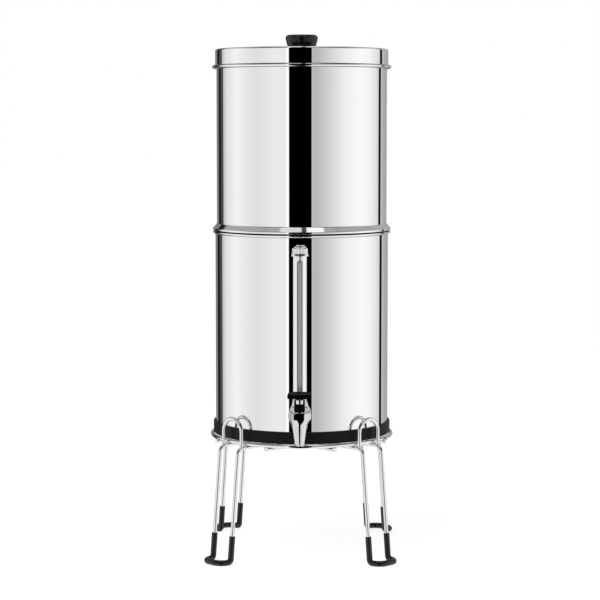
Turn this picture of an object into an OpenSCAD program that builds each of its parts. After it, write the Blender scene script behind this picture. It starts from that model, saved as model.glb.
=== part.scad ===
// Gravity water filter: an upper chamber with two filter elements stands in a
// lower chamber with a lever tap and a sight gauge, on a four-legged wire stand.
// Millimetres. Up is +Z and the tap faces -Y. The origin is on the floor, under
// the middle of the whole outline. Heights named _z are measured from the
// underside of the base ring, which is where the lower chamber stands.

/* [Stand] */
// Height of the base ring's underside above the floor
stand_h = 151.5; // [120:0.5:200]
// Diameter of the bent wire
wire_d = 5; // [4:0.1:6]
// How far the middle of the hoop's wire stands outside the base ring
hoop_step = 1.4; // [0.8:0.1:1.8]
// Spacing of the two wires of one leg
leg_gap = 32.7; // [28:0.1:40]
// How far the top of a leg stands outside the middle of the hoop's wire
leg_step = 11; // [9:0.5:18]
// How much further out a leg is at its foot than at its top
leg_splay = 13; // [6:0.5:24]
// Radius of the two turns at the toe of a foot
foot_round = 12; // [10:0.5:13.5]
// Depth of each wire's hairpin under the chamber, inward from the hoop
hairpin_depth = 42; // [32:1:46]
// Spacing between a leg wire and the returned end of its hairpin
hairpin_gap = 28.8; // [24:0.2:31]
// Height of the retaining loops above the base ring's underside
loop_rise = 30; // [24:0.5:44]
// Outside diameter of the foot sleeves
sleeve_d = 7.4; // [6.8:0.1:9]
// Height of the top of a foot sleeve above the floor
sleeve_h = 35.5; // [24:0.5:60]
// Depth of the flat that each sleeve stands on
foot_flat = 0.3; // [0.2:0.05:0.5]

/* [Chambers] */
// Outside diameter of the lower chamber
lower_d = 220; // [190:0.5:250]
// Height of the lower chamber's rim above the base ring's underside
lower_h = 258.5; // [230:0.5:320]
// Sheet thickness of both chambers and the lid
wall = 0.8; // [0.6:0.05:1.2]
// Diameter of the rolled rim of the lower chamber
rim_d = 4; // [3:0.1:5]
// Corner radius at the bottom of both chambers
corner_r = 5; // [3:0.5:8]
// Radial clearance between the upper chamber and the lower one
nest_gap = 1.2; // [0.8:0.1:2]
// Height of the upper chamber above its stop
upper_h = 227; // [215:0.5:280]
// Depth of the upper chamber below its stop
spigot_h = 22.5; // [16:0.5:30]
// Height of the stop pressed out of the upper chamber's wall
stop_h = 8.5; // [7:0.5:14]
// Height of the straight lip at the foot of the stop
stop_lip = 2.5; // [2:0.1:4]
// How far the stop stands out of the upper chamber's wall
stop_out = 5.1; // [4.6:0.1:6.6]
// Diameter of the hem on top of the upper chamber
hem_d = 2.6; // [2:0.1:3.2]
// How far the hem stands out of the upper chamber's wall
hem_step = 0.5; // [0.4:0.05:1]
// Vertical clearance under the parts that lift off
seat_gap = 0.3; // [0.2:0.05:0.5]

/* [Base ring] */
// Height of the rubber base ring
ring_h = 14.8; // [12:0.1:22]
// Thickness of the base ring outside the chamber
ring_t = 3; // [2:0.1:4]
// Thickness of the rubber pad under the chamber
pad_t = 2; // [1.5:0.1:3]
// Width of the rubber pad under the chamber
pad_w = 12; // [8:0.5:20]

/* [Lid] */
// Height of the lid from the middle of its bead to its shoulder
lid_h = 22.3; // [18:0.1:30]
// Rise of the lid from its shoulder to its middle
lid_rise = 2.5; // [2:0.1:8]
// Diameter of the bead round the lid's skirt
lid_bead_d = 4.7; // [4:0.1:5.5]
// Clearance between the lid and the hem inside it
lid_gap = 0.3; // [0.2:0.05:0.5]
// Diameter of the knob at its top
knob_top_d = 41.5; // [34:0.5:48]
// Diameter of the knob where it stands on the lid
knob_foot_d = 35; // [28:0.5:40]
// Height of the knob
knob_h = 15.5; // [11:0.1:20]
// Depth of the dish in the top of the knob
knob_dish = 0.8; // [0.4:0.1:1.5]
// Diameter of the knob's screw
screw_d = 5; // [4:0.5:6]

/* [Tap] */
// Distance from the lower chamber's wall to the middle of the spout
tap_reach = 40; // [38:0.5:50]
// Height of the middle of the tap's shank
shank_z = 40; // [34:0.5:60]
// Diameter of the shank
shank_d = 16; // [14:0.5:18]
// Diameter of the water way through the shank
way_d = 9; // [7:0.5:10]
// Diameter of the flange against the chamber's wall
flange_d = 26; // [24:0.5:30]
// Drop from the middle of the shank to the tip of the spout
spout_drop = 34; // [28:0.5:40]
// Diameter of the spout at its tip
spout_tip_d = 11.6; // [11:0.1:14]
// Diameter of the spout under the collar
spout_top_d = 19.4; // [18:0.1:22]
// Diameter of the outlet bore
outlet_d = 9.2; // [7:0.1:9.6]
// Width of the six-sided collar, across its corners
collar_d = 28; // [25:0.1:30]
// Width over the two ears of the bonnet
neck_d = 16.8; // [16.5:0.1:17.4]
// Diameter of the cuff round the foot of the bonnet
cuff_d = 21.3; // [20:0.1:22]
// Width of the gap between the bonnet's ears
ear_gap = 13; // [11:0.2:13.4]
// Height of the guide's top above the collar
neck_h = 15; // [14:0.5:20]
// Diameter of the valve stem
stem_d = 4.5; // [4:0.1:5]
// Diameter of the lever's pin
pin_d = 2; // [1.6:0.1:2.4]
// Radial running clearance of the stem and of the lever's pin
run_gap = 0.08; // [0.04:0.01:0.1]
// Distance from the lever's pin to the middle of its heel, which sets the valve's lift
heel_step = 5; // [4:0.1:5.4]
// Width of the lever
lever_w = 29; // [24:0.5:36]
// Length of the lever in front of its pin
lever_l = 24; // [18:0.5:32]
// Thickness of the lever
lever_t = 5.2; // [4.2:0.1:7]

/* [Sight gauge] */
// Distance from the lower chamber's wall to the middle of the gauge
gauge_reach = 18; // [17:0.5:19]
// Height of the top of the gauge
gauge_top_z = 245; // [180:0.5:252]
// Outside diameter of the gauge's shield
shield_d = 16.3; // [15.6:0.1:17]
// Thickness of the shield
shield_t = 1.2; // [0.8:0.1:1.4]
// Width of the slot in the shield
slot_w = 6.6; // [4:0.1:7]
// Outside diameter of the sight glass
glass_d = 10; // [9:0.1:10.6]
// Inside diameter of the sight glass
glass_bore = 7; // [5:0.1:8]
// Width of the cap across its corners
cap_d = 18.9; // [18.2:0.1:19.4]
// Diameter of the cap's flared skirt, and of the gland's below
flare_d = 20.8; // [20.4:0.1:23]

/* [Filter elements] */
// Diameter of a filter element
filter_d = 70; // [55:1:80]
// Room left between the filter elements and the hem of the upper chamber
filter_room = 21.2; // [18:0.2:60]
// Distance between the two elements' middles
filter_pitch = 90; // [84:1:100]
// Diameter of the hole along an element
filter_core_d = 24; // [18:1:34]
// Diameter of a threaded outlet stem
outlet_stem_d = 12; // [10:0.5:14]
// Length of an outlet stem below the upper chamber's floor
outlet_stem_l = 28; // [22:1:40]

/* [Hidden] */

$fn = 96;
// Finer circles where a thin piece follows the chamber's wall
fine_fn = 256;
// Gap left between two wires where they are welded, and round a close fit
weld_gap = 0.05;
fit_gap = 0.05;

// Wires
wire_r = wire_d / 2;
wire_sides = 12;
bend_steps = 6;
hairpin_bend = 10;
leg_bend = 9.5;
foot_bend = 4.4;
loop_bend_steps = 6;
// Straight left in the top of a loop
loop_flat = 0.2;

// Lower chamber and base ring
lower_r = lower_d / 2;
ring_r = lower_r + ring_t;
rim_r = lower_r + rim_d / 2 - wall - 0.3;
floor_z = pad_t;

// Hoop: the ring's lower edge rests on the inner side of the wire
hoop_r = ring_r + hoop_step;
hoop_drop = sqrt(pow(wire_r + seat_gap, 2) - pow(hoop_step, 2));
hoop_h = stand_h - hoop_drop;
run_h = hoop_h - wire_d - weld_gap;
loop_r = hoop_r + wire_d + weld_gap;

// Upper chamber
upper_r = lower_r - wall - nest_gap;
stop_z = lower_h + seat_gap;
upper_floor_z = stop_z - spigot_h;
hem_r = hem_d / 2;
hem_mid_r = upper_r + hem_step - hem_r;
hem_mid_z = stop_z + upper_h - hem_r;

// Lid: its corner runs round the hem at an even clearance
lid_corner_in = hem_r + lid_gap;
lid_corner_out = lid_corner_in + wall;
lid_in_r = hem_mid_r + lid_corner_in;
lid_out_r = lid_in_r + wall;
lid_shoulder_z = hem_mid_z + lid_corner_out;
lid_bead_z = lid_shoulder_z - lid_h;
lid_bead_mid_r = lid_in_r + lid_bead_d / 2;
lid_top_z = lid_shoulder_z + lid_rise;
knob_seat_r = knob_foot_d / 2 + 1;
screw_r = screw_d / 2;
screw_head_h = 2.5;
knob_washer_t = 1;
knob_thread_l = 8;

// Tap
tap_y = lower_r + tap_reach;
gauge_y = lower_r + gauge_reach;
tip_z = shank_z - spout_drop;
seat_ring_z = shank_z - 6;
chamber_floor_z = seat_ring_z - 1;
chamber_r = 8.6;
collar_top_z = shank_z + 6;
collar_h = 8;
// Sides of the collar, the turn of its front one to the left, and the chamfer on its upper corners
collar_sides = 6;
collar_turn = 4;
collar_bevel = 2.4;
collar_bevel_h = 1.6;
collar_foot_z = collar_top_z - collar_h;
spout_top_z = shank_z - 9.5;
bonnet_top_z = collar_top_z + neck_h;
bonnet_roof = 2.5;
bonnet_lip = 0.6;
bonnet_thread_l = 2.6;
// Thickness of the bonnet's ears, and of the guide's wall inside them
ear_t = 1;
guide_wall = 1.35;
guide_r = neck_d / 2 - ear_t - fit_gap;
guide_low_z = collar_top_z + 0.5;
spring_room_r = guide_r - guide_wall;
// Clearance between the seat cup and the bonnet as the valve lifts
cup_gap = 0.3;
heel_r = 3.2;
pin_z = bonnet_top_z + seat_gap + heel_r;
eye_r = 3;
eye_w = 4.4;
cheek_w = 1.5;
cheek_gap = 0.25;
lever_low_z = pin_z + 0.5;
// Wear plate under the lever's heels, bent down over the front of the guide
plate_w = eye_w + 2 * cheek_gap + 2 * cheek_w + 0.3;
plate_t = 1.2;
plate_h = 4.4;
// Distances from the stem's axis to the back of the plate's bent leg and to its inner edge
plate_back = spring_room_r + 0.1;
plate_end = stem_d / 2 + run_gap + 1;
disc_z = seat_ring_z + 7.4;
disc_t = 1.2;
shank_end = 14;
// Where the shank's barrel ends inside the collar, behind the spout's middle
shank_stop = 10.5;
washer_t = 2.5;
flange_t = 3;
nut_af = 24;
nut_t = 6;

// Spring round the stem, between the stem's disc and the bonnet's roof
spring_wire = 0.8;
spring_turns = 6;
spring_r = 4.2;
spring_low_z = disc_z + disc_t + spring_wire / 2 + weld_gap;
spring_high_z = bonnet_top_z - bonnet_roof - spring_wire / 2 - weld_gap;

// Gauge
shield_r = shield_d / 2;
boss_r = 9;
boss_top_z = shank_z + 9;
gland_h = 7;
glass_low_z = boss_top_z - 4;
cap_plate_t = 1.6;
cap_nut_h = 6.6;
cap_skirt_h = 3.4;
cap_low_z = gauge_top_z - cap_plate_t - cap_nut_h - cap_skirt_h;
shield_top_z = cap_low_z + cap_skirt_h - 1.4;
glass_top_z = cap_low_z + 9;
slot_top_z = cap_low_z - 4.5;
slot_low_z = boss_top_z + gland_h + 2;
seal_d = 2.4;
seal_pocket_d = glass_d + 2 * seal_d + 4 * fit_gap;

// Filter elements
filter_washer_t = 2.5;
filter_base_h = 12;
filter_cap_h = 8;
filter_low_z = upper_floor_z + wall + filter_washer_t;
filter_h = stop_z + upper_h - filter_room - filter_low_z;
stem_hole_r = outlet_stem_d / 2 + 0.3;
outlet_wall = 3;
wing_hub_h = 9;

// The outline's middle lies in front of the chambers' axis, because the lever reaches forward
leg_u = hoop_r + leg_step;
leg_foot_u = leg_u + leg_splay;
foot_u = leg_foot_u + foot_bend + foot_round;
foot_reach = (foot_u + leg_gap / 2 - 2 * foot_round) * sin(45) + foot_round + sleeve_d / 2;
front_reach = tap_y + lever_l;
rear_reach = max(foot_reach, hoop_r + wire_r);
axis_y = (front_reach - rear_reach) / 2;

// Points of a round stretch, anticlockwise if the angle grows
function arc(x, y, r, from, to, steps) =
  [for (k = [0:steps]) let (a = from + (to - from) * k / steps) [x + r * cos(a), y + r * sin(a)]];

function unit(v) = v / norm(v);

// Round off the corner b of the route a-b-c with radius r
function bend(a, b, c, r, steps) =
  let (
    u = unit(b - a),
    w = unit(c - b),
    turn = acos(u * w),
    side = unit(w - (w * u) * u),
    middle = b - r * tan(turn / 2) * u + r * side
  )
  [for (k = [0:steps]) let (t = turn * k / steps) middle - r * cos(t) * side + r * sin(t) * u];

// A route with its corners rounded: radii[i] belongs to corners[i]
function route(corners, radii, steps) =
  let (last = len(corners) - 1)
  [
    corners[0],
    for (i = [1:last - 1]) each bend(corners[i - 1], corners[i], corners[i + 1], radii[i], steps),
    corners[last]
  ];

function directions(pts) =
  let (last = len(pts) - 1)
  [for (i = [0:last])
    let (
      before = i == 0 ? pts[1] - pts[0] : pts[i] - pts[i - 1],
      after = i == last ? pts[last] - pts[last - 1] : pts[i + 1] - pts[i]
    )
    unit(unit(before) + unit(after))];

// The side vector n carried along the route without twist
function carried(dirs, n, i = 0, done = []) =
  i == len(dirs) ? done :
  let (m = unit(n - (n * dirs[i]) * dirs[i]))
  carried(dirs, m, i + 1, concat(done, [m]));

function rings(pts, r, n0, sides, phase, low) =
  let (
    dirs = directions(pts),
    ns = carried(dirs, n0)
  )
  [for (i = [0:len(pts) - 1], k = [0:sides - 1])
    let (
      a = phase + 360 * k / sides,
      p = pts[i] + r * cos(a) * ns[i] + r * sin(a) * cross(dirs[i], ns[i])
    )
    [p[0], p[1], max(p[2], low)]];

// Triangles of the skin between neighbouring rings, with the first ring's points from `first`
function skin(count, sides, first, outward) =
  [for (i = [0:count - 2], k = [0:sides - 1])
    let (
      a = first + i * sides + k,
      b = first + i * sides + (k + 1) % sides,
      c = b + sides,
      d = a + sides
    )
    each outward ? [[a, d, c], [a, c, b]] : [[a, c, d], [a, b, c]]];

// Solid wire along a route; n0 is square to its first run
module wire(pts, d, n0, phase = 0, sides = wire_sides) {
  count = len(pts);
  polyhedron(
    points = rings(pts, d / 2, n0, sides, phase, 0),
    faces = concat(
      skin(count, sides, 0, true),
      [[for (k = [0:sides - 1]) k]],
      [[for (k = [sides - 1:-1:0]) (count - 1) * sides + k]]
    )
  );
}

// Tube along a route, with its bore open at both ends
module tube(pts, d, bore, n0, phase = 0, sides = wire_sides) {
  count = len(pts);
  inner = count * sides;
  end = (count - 1) * sides;
  polyhedron(
    points = concat(rings(pts, d / 2, n0, sides, phase, 0), rings(pts, bore / 2, n0, sides, phase, 0)),
    faces = concat(
      skin(count, sides, 0, true),
      skin(count, sides, inner, false),
      [for (k = [0:sides - 1])
        let (m = (k + 1) % sides)
        each [[k, m, inner + m], [k, inner + m, inner + k]]],
      [for (k = [0:sides - 1])
        let (m = (k + 1) % sides)
        each [[end + k, inner + end + m, end + m], [end + k, inner + end + k, inner + end + m]]]
    )
  );
}

// Places: on_floor keeps heights from the floor, on_stand takes them from the base ring's underside
module on_floor() { translate([0, axis_y, 0]) children(); }
module on_stand() { translate([0, axis_y, stand_h]) children(); }
module at_tap() { translate([0, -tap_y, 0]) children(); }
module at_gauge() { translate([0, -gauge_y, 0]) children(); }
// A shape drawn along +Z, laid along -Y with its start at distance y in front of the axis
module forward(y, z) { translate([0, -y, z]) rotate([90, 0, 0]) children(); }

module ring_solid(r_in, r_out, z_low, z_high) {
  rotate_extrude() polygon([[r_in, z_low], [r_out, z_low], [r_out, z_high], [r_in, z_high]]);
}

// ---- Stand ----

module stand_hoop() {
  color("silver") on_floor() translate([0, 0, hoop_h])
    rotate_extrude() translate([hoop_r, 0]) circle(d = wire_d);
}

// One leg is a single wire: hairpin under the chamber, leg, foot, leg and hairpin. The foot is a
// flat loop that lies on the floor. The leg is drawn along +X, which is then turned to its corner.
half_gap = leg_gap / 2;
hairpin_u = hoop_r - hairpin_depth;
hairpin_v = half_gap + hairpin_gap;
hairpin_end_u = sqrt(pow(hoop_r + wire_r, 2) - pow(hairpin_v + wire_r, 2));
bar_h = sleeve_d / 2 - foot_flat;

function leg_half(s) = [
  [hairpin_end_u, s * hairpin_v, run_h],
  [hairpin_u, s * hairpin_v, run_h],
  [hairpin_u, s * half_gap, run_h],
  [leg_u, s * half_gap, run_h],
  [leg_foot_u, s * half_gap, bar_h],
  [foot_u, s * half_gap, bar_h]
];
function turned_back(list) = [for (i = [len(list) - 1:-1:0]) list[i]];
leg_radii = [0, hairpin_bend, hairpin_bend, leg_bend, foot_bend, foot_round];

module leg_wire() {
  corners = concat(leg_half(1), turned_back(leg_half(-1)));
  radii = concat(leg_radii, turned_back(leg_radii));
  wire(route(corners, radii, bend_steps), wire_d, [0, 0, 1]);
}

// The sleeve follows the same bends as the wire inside it, from the same height on both wires
function sleeve_top(s) =
  let (
    high = [leg_u, s * half_gap, run_h],
    low = [leg_foot_u, s * half_gap, bar_h]
  )
  low + (high - low) * (sleeve_h - bar_h) / (run_h - bar_h);
function sleeve_half(s) = [
  sleeve_top(s),
  [leg_foot_u, s * half_gap, bar_h],
  [foot_u, s * half_gap, bar_h]
];

module foot_sleeve() {
  corners = concat(sleeve_half(1), turned_back(sleeve_half(-1)));
  radii = [0, foot_bend, foot_round, foot_round, foot_bend, 0];
  // Half a side's turn puts one flat of the tube on the floor
  half_side = 180 / wire_sides;
  tube(
    route(corners, radii, bend_steps),
    sleeve_d,
    (wire_d + 2 * fit_gap) / cos(half_side),
    [1, 0, 0],
    phase = half_side
  );
}

// An upright hoop-shaped wire outside the stand's hoop, standing on the two runs of a leg
module retaining_loop() {
  low = run_h + wire_r + weld_gap;
  high = stand_h + loop_rise - wire_r;
  corners = [
    [loop_r, half_gap, low],
    [loop_r, half_gap, high],
    [loop_r, -half_gap, high],
    [loop_r, -half_gap, low]
  ];
  round_r = half_gap - loop_flat / 2;
  wire(route(corners, [0, round_r, round_r, 0], loop_bend_steps), wire_d, [1, 0, 0]);
}

// Turns a part drawn along +X to its corner of the stand, in degrees from +X
module at_corner(turn) { on_floor() rotate(turn) children(); }

// ---- Lower chamber ----

module lower_chamber() {
  r_in = lower_r - wall;
  bead_mid_z = lower_h - rim_d / 2;
  bead_r = rim_d / 2;
  outer_meet = 360 - acos((lower_r - rim_r) / bead_r);
  inner_meet = 360 + acos((r_in - rim_r) / bead_r);
  color("gainsboro") on_stand() difference() {
    rotate_extrude() polygon(concat(
      [[0, floor_z]],
      arc(lower_r - corner_r, floor_z + corner_r, corner_r, -90, 0, 6),
      arc(rim_r, bead_mid_z, bead_r, outer_meet, inner_meet, 18),
      arc(lower_r - corner_r, floor_z + corner_r, corner_r - wall, 0, -90, 6),
      [[0, floor_z + wall]]
    ));
    forward(lower_r - 2 * wall, shank_z) cylinder(r = shank_d / 2 + fit_gap, h = 4 * wall);
  }
}

// Rubber band round the wall
module base_ring() {
  edge_round = 1;
  r_in = lower_r + fit_gap;
  color([0.08, 0.08, 0.08]) on_stand() rotate_extrude() polygon(concat(
    [[r_in, 0]],
    arc(ring_r - edge_round, edge_round, edge_round, -90, 0, 4),
    arc(ring_r - edge_round, ring_h - edge_round, edge_round, 0, 90, 4),
    [[r_in, ring_h]]
  ));
}

// Flat rubber ring under the floor, on which the chamber stands
module base_pad() {
  color([0.08, 0.08, 0.08]) on_stand() ring_solid(lower_r - pad_w, lower_r, 0, floor_z - fit_gap);
}

// ---- Tap ----

// Cast body: spout, six-sided collar, shank, wall flange and the gauge's boss
module tap_body() {
  spout_r = spout_top_d / 2;
  tip_r = spout_tip_d / 2;
  collar_r = collar_d / 2;
  flange_y = lower_r + washer_t;
  color("silver") on_stand() difference() {
    union() {
      at_tap() rotate_extrude() polygon([
        [0, tip_z], [tip_r, tip_z], [spout_r, spout_top_z],
        [spout_r, collar_top_z - 1], [0, collar_top_z - 1]
      ]);
      at_tap() intersection() {
        translate([0, 0, spout_top_z]) rotate([0, 0, -collar_turn])
          cylinder(r = collar_r, h = collar_top_z - spout_top_z, $fn = collar_sides);
        rotate_extrude() polygon([
          [0, spout_top_z], [spout_r - 0.6, spout_top_z], [collar_r, collar_foot_z],
          [collar_r, collar_top_z - collar_bevel_h], [collar_r - collar_bevel, collar_top_z],
          [0, collar_top_z]
        ]);
      }
      forward(lower_r - shank_end, shank_z) cylinder(d = shank_d, h = tap_reach + shank_end - shank_stop);
      forward(flange_y, shank_z) cylinder(d = flange_d, h = flange_t);
      at_gauge() translate([0, 0, shank_z]) cylinder(r = boss_r, h = boss_top_z - shank_z);
    }
    at_tap() translate([0, 0, tip_z - 1]) cylinder(d = outlet_d, h = shank_z - tip_z);
    at_tap() ring_solid(0, chamber_r, seat_ring_z, collar_top_z + 1);
    at_tap() ring_solid(outlet_d / 2 + 1.2, chamber_r, chamber_floor_z, shank_z);
    forward(lower_r - shank_end - 1, shank_z) cylinder(d = way_d, h = tap_reach + shank_end);
    at_gauge() translate([0, 0, shank_z]) cylinder(d = glass_bore, h = boss_top_z);
    at_gauge() translate([0, 0, glass_low_z - fit_gap]) cylinder(d = glass_d + 2 * fit_gap, h = boss_top_z);
    at_gauge() translate([0, 0, boss_top_z - seal_d]) cylinder(d = seal_pocket_d, h = boss_top_z);
  }
}

// Turned bonnet, screwed into the collar, with two ears that hold the guide between them
module tap_bonnet() {
  skirt_r = chamber_r - fit_gap;
  neck_r = neck_d / 2;
  waist_r = neck_r - 0.2;
  cuff_r = cuff_d / 2;
  cuff_z = collar_top_z + 5.2;
  ear_top_z = lever_low_z - 0.3;
  // The ears' front edges slope down, clear of the lever when it is pressed
  slope_y = 4;
  slope_depth = 3.75;
  slope_run = 5;
  color("silver") on_stand() at_tap() difference() {
    rotate_extrude() polygon([
      [spring_room_r, collar_top_z - bonnet_thread_l],
      [skirt_r, collar_top_z - bonnet_thread_l],
      [skirt_r, collar_top_z + fit_gap],
      [skirt_r + bonnet_lip, collar_top_z + fit_gap],
      [skirt_r + bonnet_lip, collar_top_z + 0.4],
      [waist_r, collar_top_z + 0.9],
      [waist_r, cuff_z - 2.2],
      [cuff_r - 0.4, cuff_z - 0.9],
      [cuff_r, cuff_z - 0.4],
      [cuff_r, cuff_z + 0.4],
      [neck_r, cuff_z + 2.2],
      [neck_r, ear_top_z],
      [neck_r - ear_t, ear_top_z],
      [neck_r - ear_t, guide_low_z - fit_gap],
      [spring_room_r, guide_low_z - fit_gap]
    ]);
    translate([-ear_gap / 2, -cuff_d, guide_low_z]) cube([ear_gap, 2 * cuff_d, 2 * neck_h]);
    translate([-cuff_d, 0, ear_top_z]) rotate([90, 0, 90]) linear_extrude(2 * cuff_d)
      polygon([
        [-slope_y, 0], [-slope_y - slope_run, -slope_depth],
        [-slope_y - slope_run, 1], [-slope_y, 1]
      ]);
  }
}

// Black guide in the bonnet: it covers the spring, and the stem passes through its roof
module bonnet_guide() {
  hole_r = stem_d / 2 + run_gap;
  leg_low_z = bonnet_top_z - plate_h - fit_gap;
  top_low_z = bonnet_top_z - plate_t - fit_gap;
  cut_w = plate_w + 2 * fit_gap;
  color([0.06, 0.06, 0.06]) on_stand() at_tap() difference() {
    rotate_extrude() polygon([
      [spring_room_r, guide_low_z],
      [guide_r, guide_low_z],
      [guide_r, bonnet_top_z],
      [hole_r, bonnet_top_z],
      [hole_r, bonnet_top_z - bonnet_roof],
      [spring_room_r, bonnet_top_z - bonnet_roof]
    ]);
    translate([-cut_w / 2, -2 * guide_r, leg_low_z])
      cube([cut_w, 2 * guide_r - plate_back + fit_gap, plate_h + 1]);
    translate([-cut_w / 2, -2 * guide_r, top_low_z])
      cube([cut_w, 2 * guide_r - plate_end + fit_gap, plate_t + 1]);
  }
}

// Wear plate on which the lever's heels rock, bent down over the front of the guide
module heel_plate() {
  leg_t = guide_r - plate_back;
  color("silver") on_stand() at_tap() intersection() {
    translate([0, 0, bonnet_top_z - plate_h]) cylinder(r = guide_r, h = plate_h);
    union() {
      translate([-plate_w / 2, -guide_r, bonnet_top_z - plate_h]) cube([plate_w, leg_t, plate_h]);
      translate([-plate_w / 2, -guide_r, bonnet_top_z - plate_t])
        cube([plate_w, guide_r - plate_end, plate_t]);
    }
  }
}

module tap_spring() {
  steps = 10;
  count = spring_turns * steps;
  rise = spring_high_z - spring_low_z;
  pts = [for (i = [0:count])
    let (a = 360 * i / steps)
    [spring_r * cos(a), spring_r * sin(a), spring_low_z + rise * i / count]];
  color("gray") on_stand() at_tap() wire(pts, spring_wire, [1, 0, 0], sides = 6);
}

module shank_nut() {
  nut_y = lower_r - wall - washer_t;
  color("silver") on_stand() forward(nut_y - nut_t, shank_z) difference() {
    cylinder(d = nut_af / cos(30), h = nut_t, $fn = 6);
    translate([0, 0, -1]) cylinder(r = shank_d / 2 + fit_gap, h = nut_t + 2);
  }
}

// Silicone washers that follow the curve of the wall on one face
module shank_washer_outer() {
  color([0.15, 0.15, 0.15]) on_stand() difference() {
    forward(lower_r - wall, shank_z) cylinder(d = flange_d - 2, h = wall + washer_t - fit_gap);
    forward(lower_r - 4, shank_z) cylinder(r = shank_d / 2 + fit_gap, h = 10);
    translate([0, 0, shank_z - flange_d]) cylinder(r = lower_r + fit_gap, h = 2 * flange_d, $fn = fine_fn);
  }
}

module shank_washer_inner() {
  nut_y = lower_r - wall - washer_t;
  color([0.15, 0.15, 0.15]) on_stand() intersection() {
    forward(nut_y + fit_gap, shank_z) difference() {
      cylinder(d = flange_d - 2, h = washer_t + 1);
      translate([0, 0, -1]) cylinder(r = shank_d / 2 + fit_gap, h = washer_t + 3);
    }
    translate([0, 0, shank_z - flange_d])
      cylinder(r = lower_r - wall - fit_gap, h = 2 * flange_d, $fn = fine_fn);
  }
}

// ---- Valve stem and lever ----

module tap_stem() {
  stem_r = stem_d / 2;
  foot_r = 3;
  hole_r = pin_d / 2 + run_gap;
  color("silver") on_stand() at_tap() difference() {
    union() {
      translate([0, 0, disc_z]) cylinder(r = stem_r, h = pin_z - disc_z);
      translate([0, 0, disc_z]) cylinder(r = 5, h = disc_t);
      translate([0, 0, disc_z - 4]) cylinder(r = foot_r, h = 4.5);
      translate([-eye_w / 2, 0, pin_z]) rotate([0, 90, 0]) cylinder(r = eye_r, h = eye_w);
    }
    translate([-eye_w, 0, pin_z]) rotate([0, 90, 0]) cylinder(r = hole_r, h = 2 * eye_w);
  }
}

module seat_cup() {
  cup_r = spring_room_r - cup_gap;
  cup_low_z = seat_ring_z + fit_gap;
  color("whitesmoke") on_stand() at_tap() rotate_extrude() polygon([
    [0, cup_low_z],
    [cup_r - 0.5, cup_low_z],
    [cup_r, cup_low_z + 1],
    [cup_r, disc_z - 1],
    [cup_r - 1, disc_z - fit_gap],
    [3 + fit_gap, disc_z - fit_gap],
    [3 + fit_gap, disc_z - 4 - fit_gap],
    [0, disc_z - 4 - fit_gap]
  ]);
}

// Plan of the lever, from behind the pin to the front edge: it widens a little to the front
function lever_plan() =
  let (
    half = lever_w / 2,
    back_half = half - 1.2,
    back = 5.5,
    back_round = 2,
    round_r = 3
  )
  concat(
    arc(back_half - back_round, back - back_round, back_round, 0, 90, 4),
    arc(back_round - back_half, back - back_round, back_round, 90, 180, 4),
    arc(round_r - half, round_r - lever_l, round_r, 180, 270, 5),
    arc(half - round_r, round_r - lever_l, round_r, 270, 360, 5)
  );

// Cheek beside the stem's eye: a slot shape from the pin to the rounded heel that rocks on its plate
function cheek_side() = concat(
  arc(0, 0, heel_r, -90, 90, 10),
  arc(-heel_step, 0, heel_r, 90, 270, 10)
);

module tap_lever() {
  eye_slot_w = eye_w + 2 * cheek_gap;
  outer_w = eye_slot_w + 2 * cheek_w;
  // Rib across the front of the eye, short of the stem when the lever is pressed
  rib_w = 4;
  rib_t = 1.4;
  rib_drop = 2.2;
  rib_y = heel_step - 0.2;
  color([0.06, 0.06, 0.06]) on_stand() at_tap() difference() {
    union() {
      translate([0, 0, lever_low_z]) linear_extrude(lever_t) polygon(lever_plan());
      difference() {
        translate([-outer_w / 2, 0, pin_z]) rotate([90, 0, 90]) linear_extrude(outer_w) polygon(cheek_side());
        translate([-eye_slot_w / 2, -heel_step - heel_r - 1, pin_z - heel_r - 1])
          cube([eye_slot_w, 2 * heel_r + heel_step + 2, 2 * heel_r + 2]);
      }
      translate([-rib_w / 2, -rib_y - rib_t, pin_z - rib_drop]) cube([rib_w, rib_t, rib_drop + 1]);
    }
    translate([-eye_slot_w / 2, 0, pin_z]) rotate([0, 90, 0])
      cylinder(r = eye_r + cheek_gap, h = eye_slot_w);
    translate([-outer_w, 0, pin_z]) rotate([0, 90, 0]) cylinder(r = pin_d / 2 + fit_gap, h = 2 * outer_w);
  }
}

module lever_pin() {
  length = eye_w + 2 * cheek_gap + 2 * cheek_w;
  color("silver") on_stand() at_tap() translate([-length / 2, 0, pin_z])
    rotate([0, 90, 0]) cylinder(d = pin_d, h = length);
}

// ---- Sight gauge ----

module gauge_gland() {
  flare_r = flare_d / 2;
  color("silver") on_stand() at_gauge() rotate_extrude() polygon([
    [glass_d / 2 + fit_gap, boss_top_z],
    [flare_r - 0.8, boss_top_z],
    [flare_r, boss_top_z + 1],
    [flare_r - 0.6, boss_top_z + 2],
    [shield_r + 0.9, boss_top_z + gland_h - 1],
    [shield_r + 0.7, boss_top_z + gland_h],
    [shield_r + fit_gap, boss_top_z + gland_h],
    [shield_r + fit_gap, boss_top_z + 2],
    [glass_d / 2 + fit_gap, boss_top_z + 2]
  ]);
}

module gauge_glass() {
  color([0.8, 0.9, 0.95, 0.4]) on_stand() at_gauge()
    ring_solid(glass_bore / 2, glass_d / 2, glass_low_z, glass_top_z);
}

module gauge_shield() {
  low = boss_top_z + 2 + fit_gap;
  slot_round_z = slot_top_z - slot_w / 2;
  color("gainsboro") on_stand() at_gauge() difference() {
    ring_solid(shield_r - shield_t, shield_r, low, shield_top_z);
    translate([-slot_w / 2, -shield_r - 1, slot_low_z]) cube([slot_w, shield_r, slot_round_z - slot_low_z]);
    translate([0, -1, slot_round_z]) rotate([90, 0, 0]) cylinder(d = slot_w, h = shield_r);
  }
}

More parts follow.
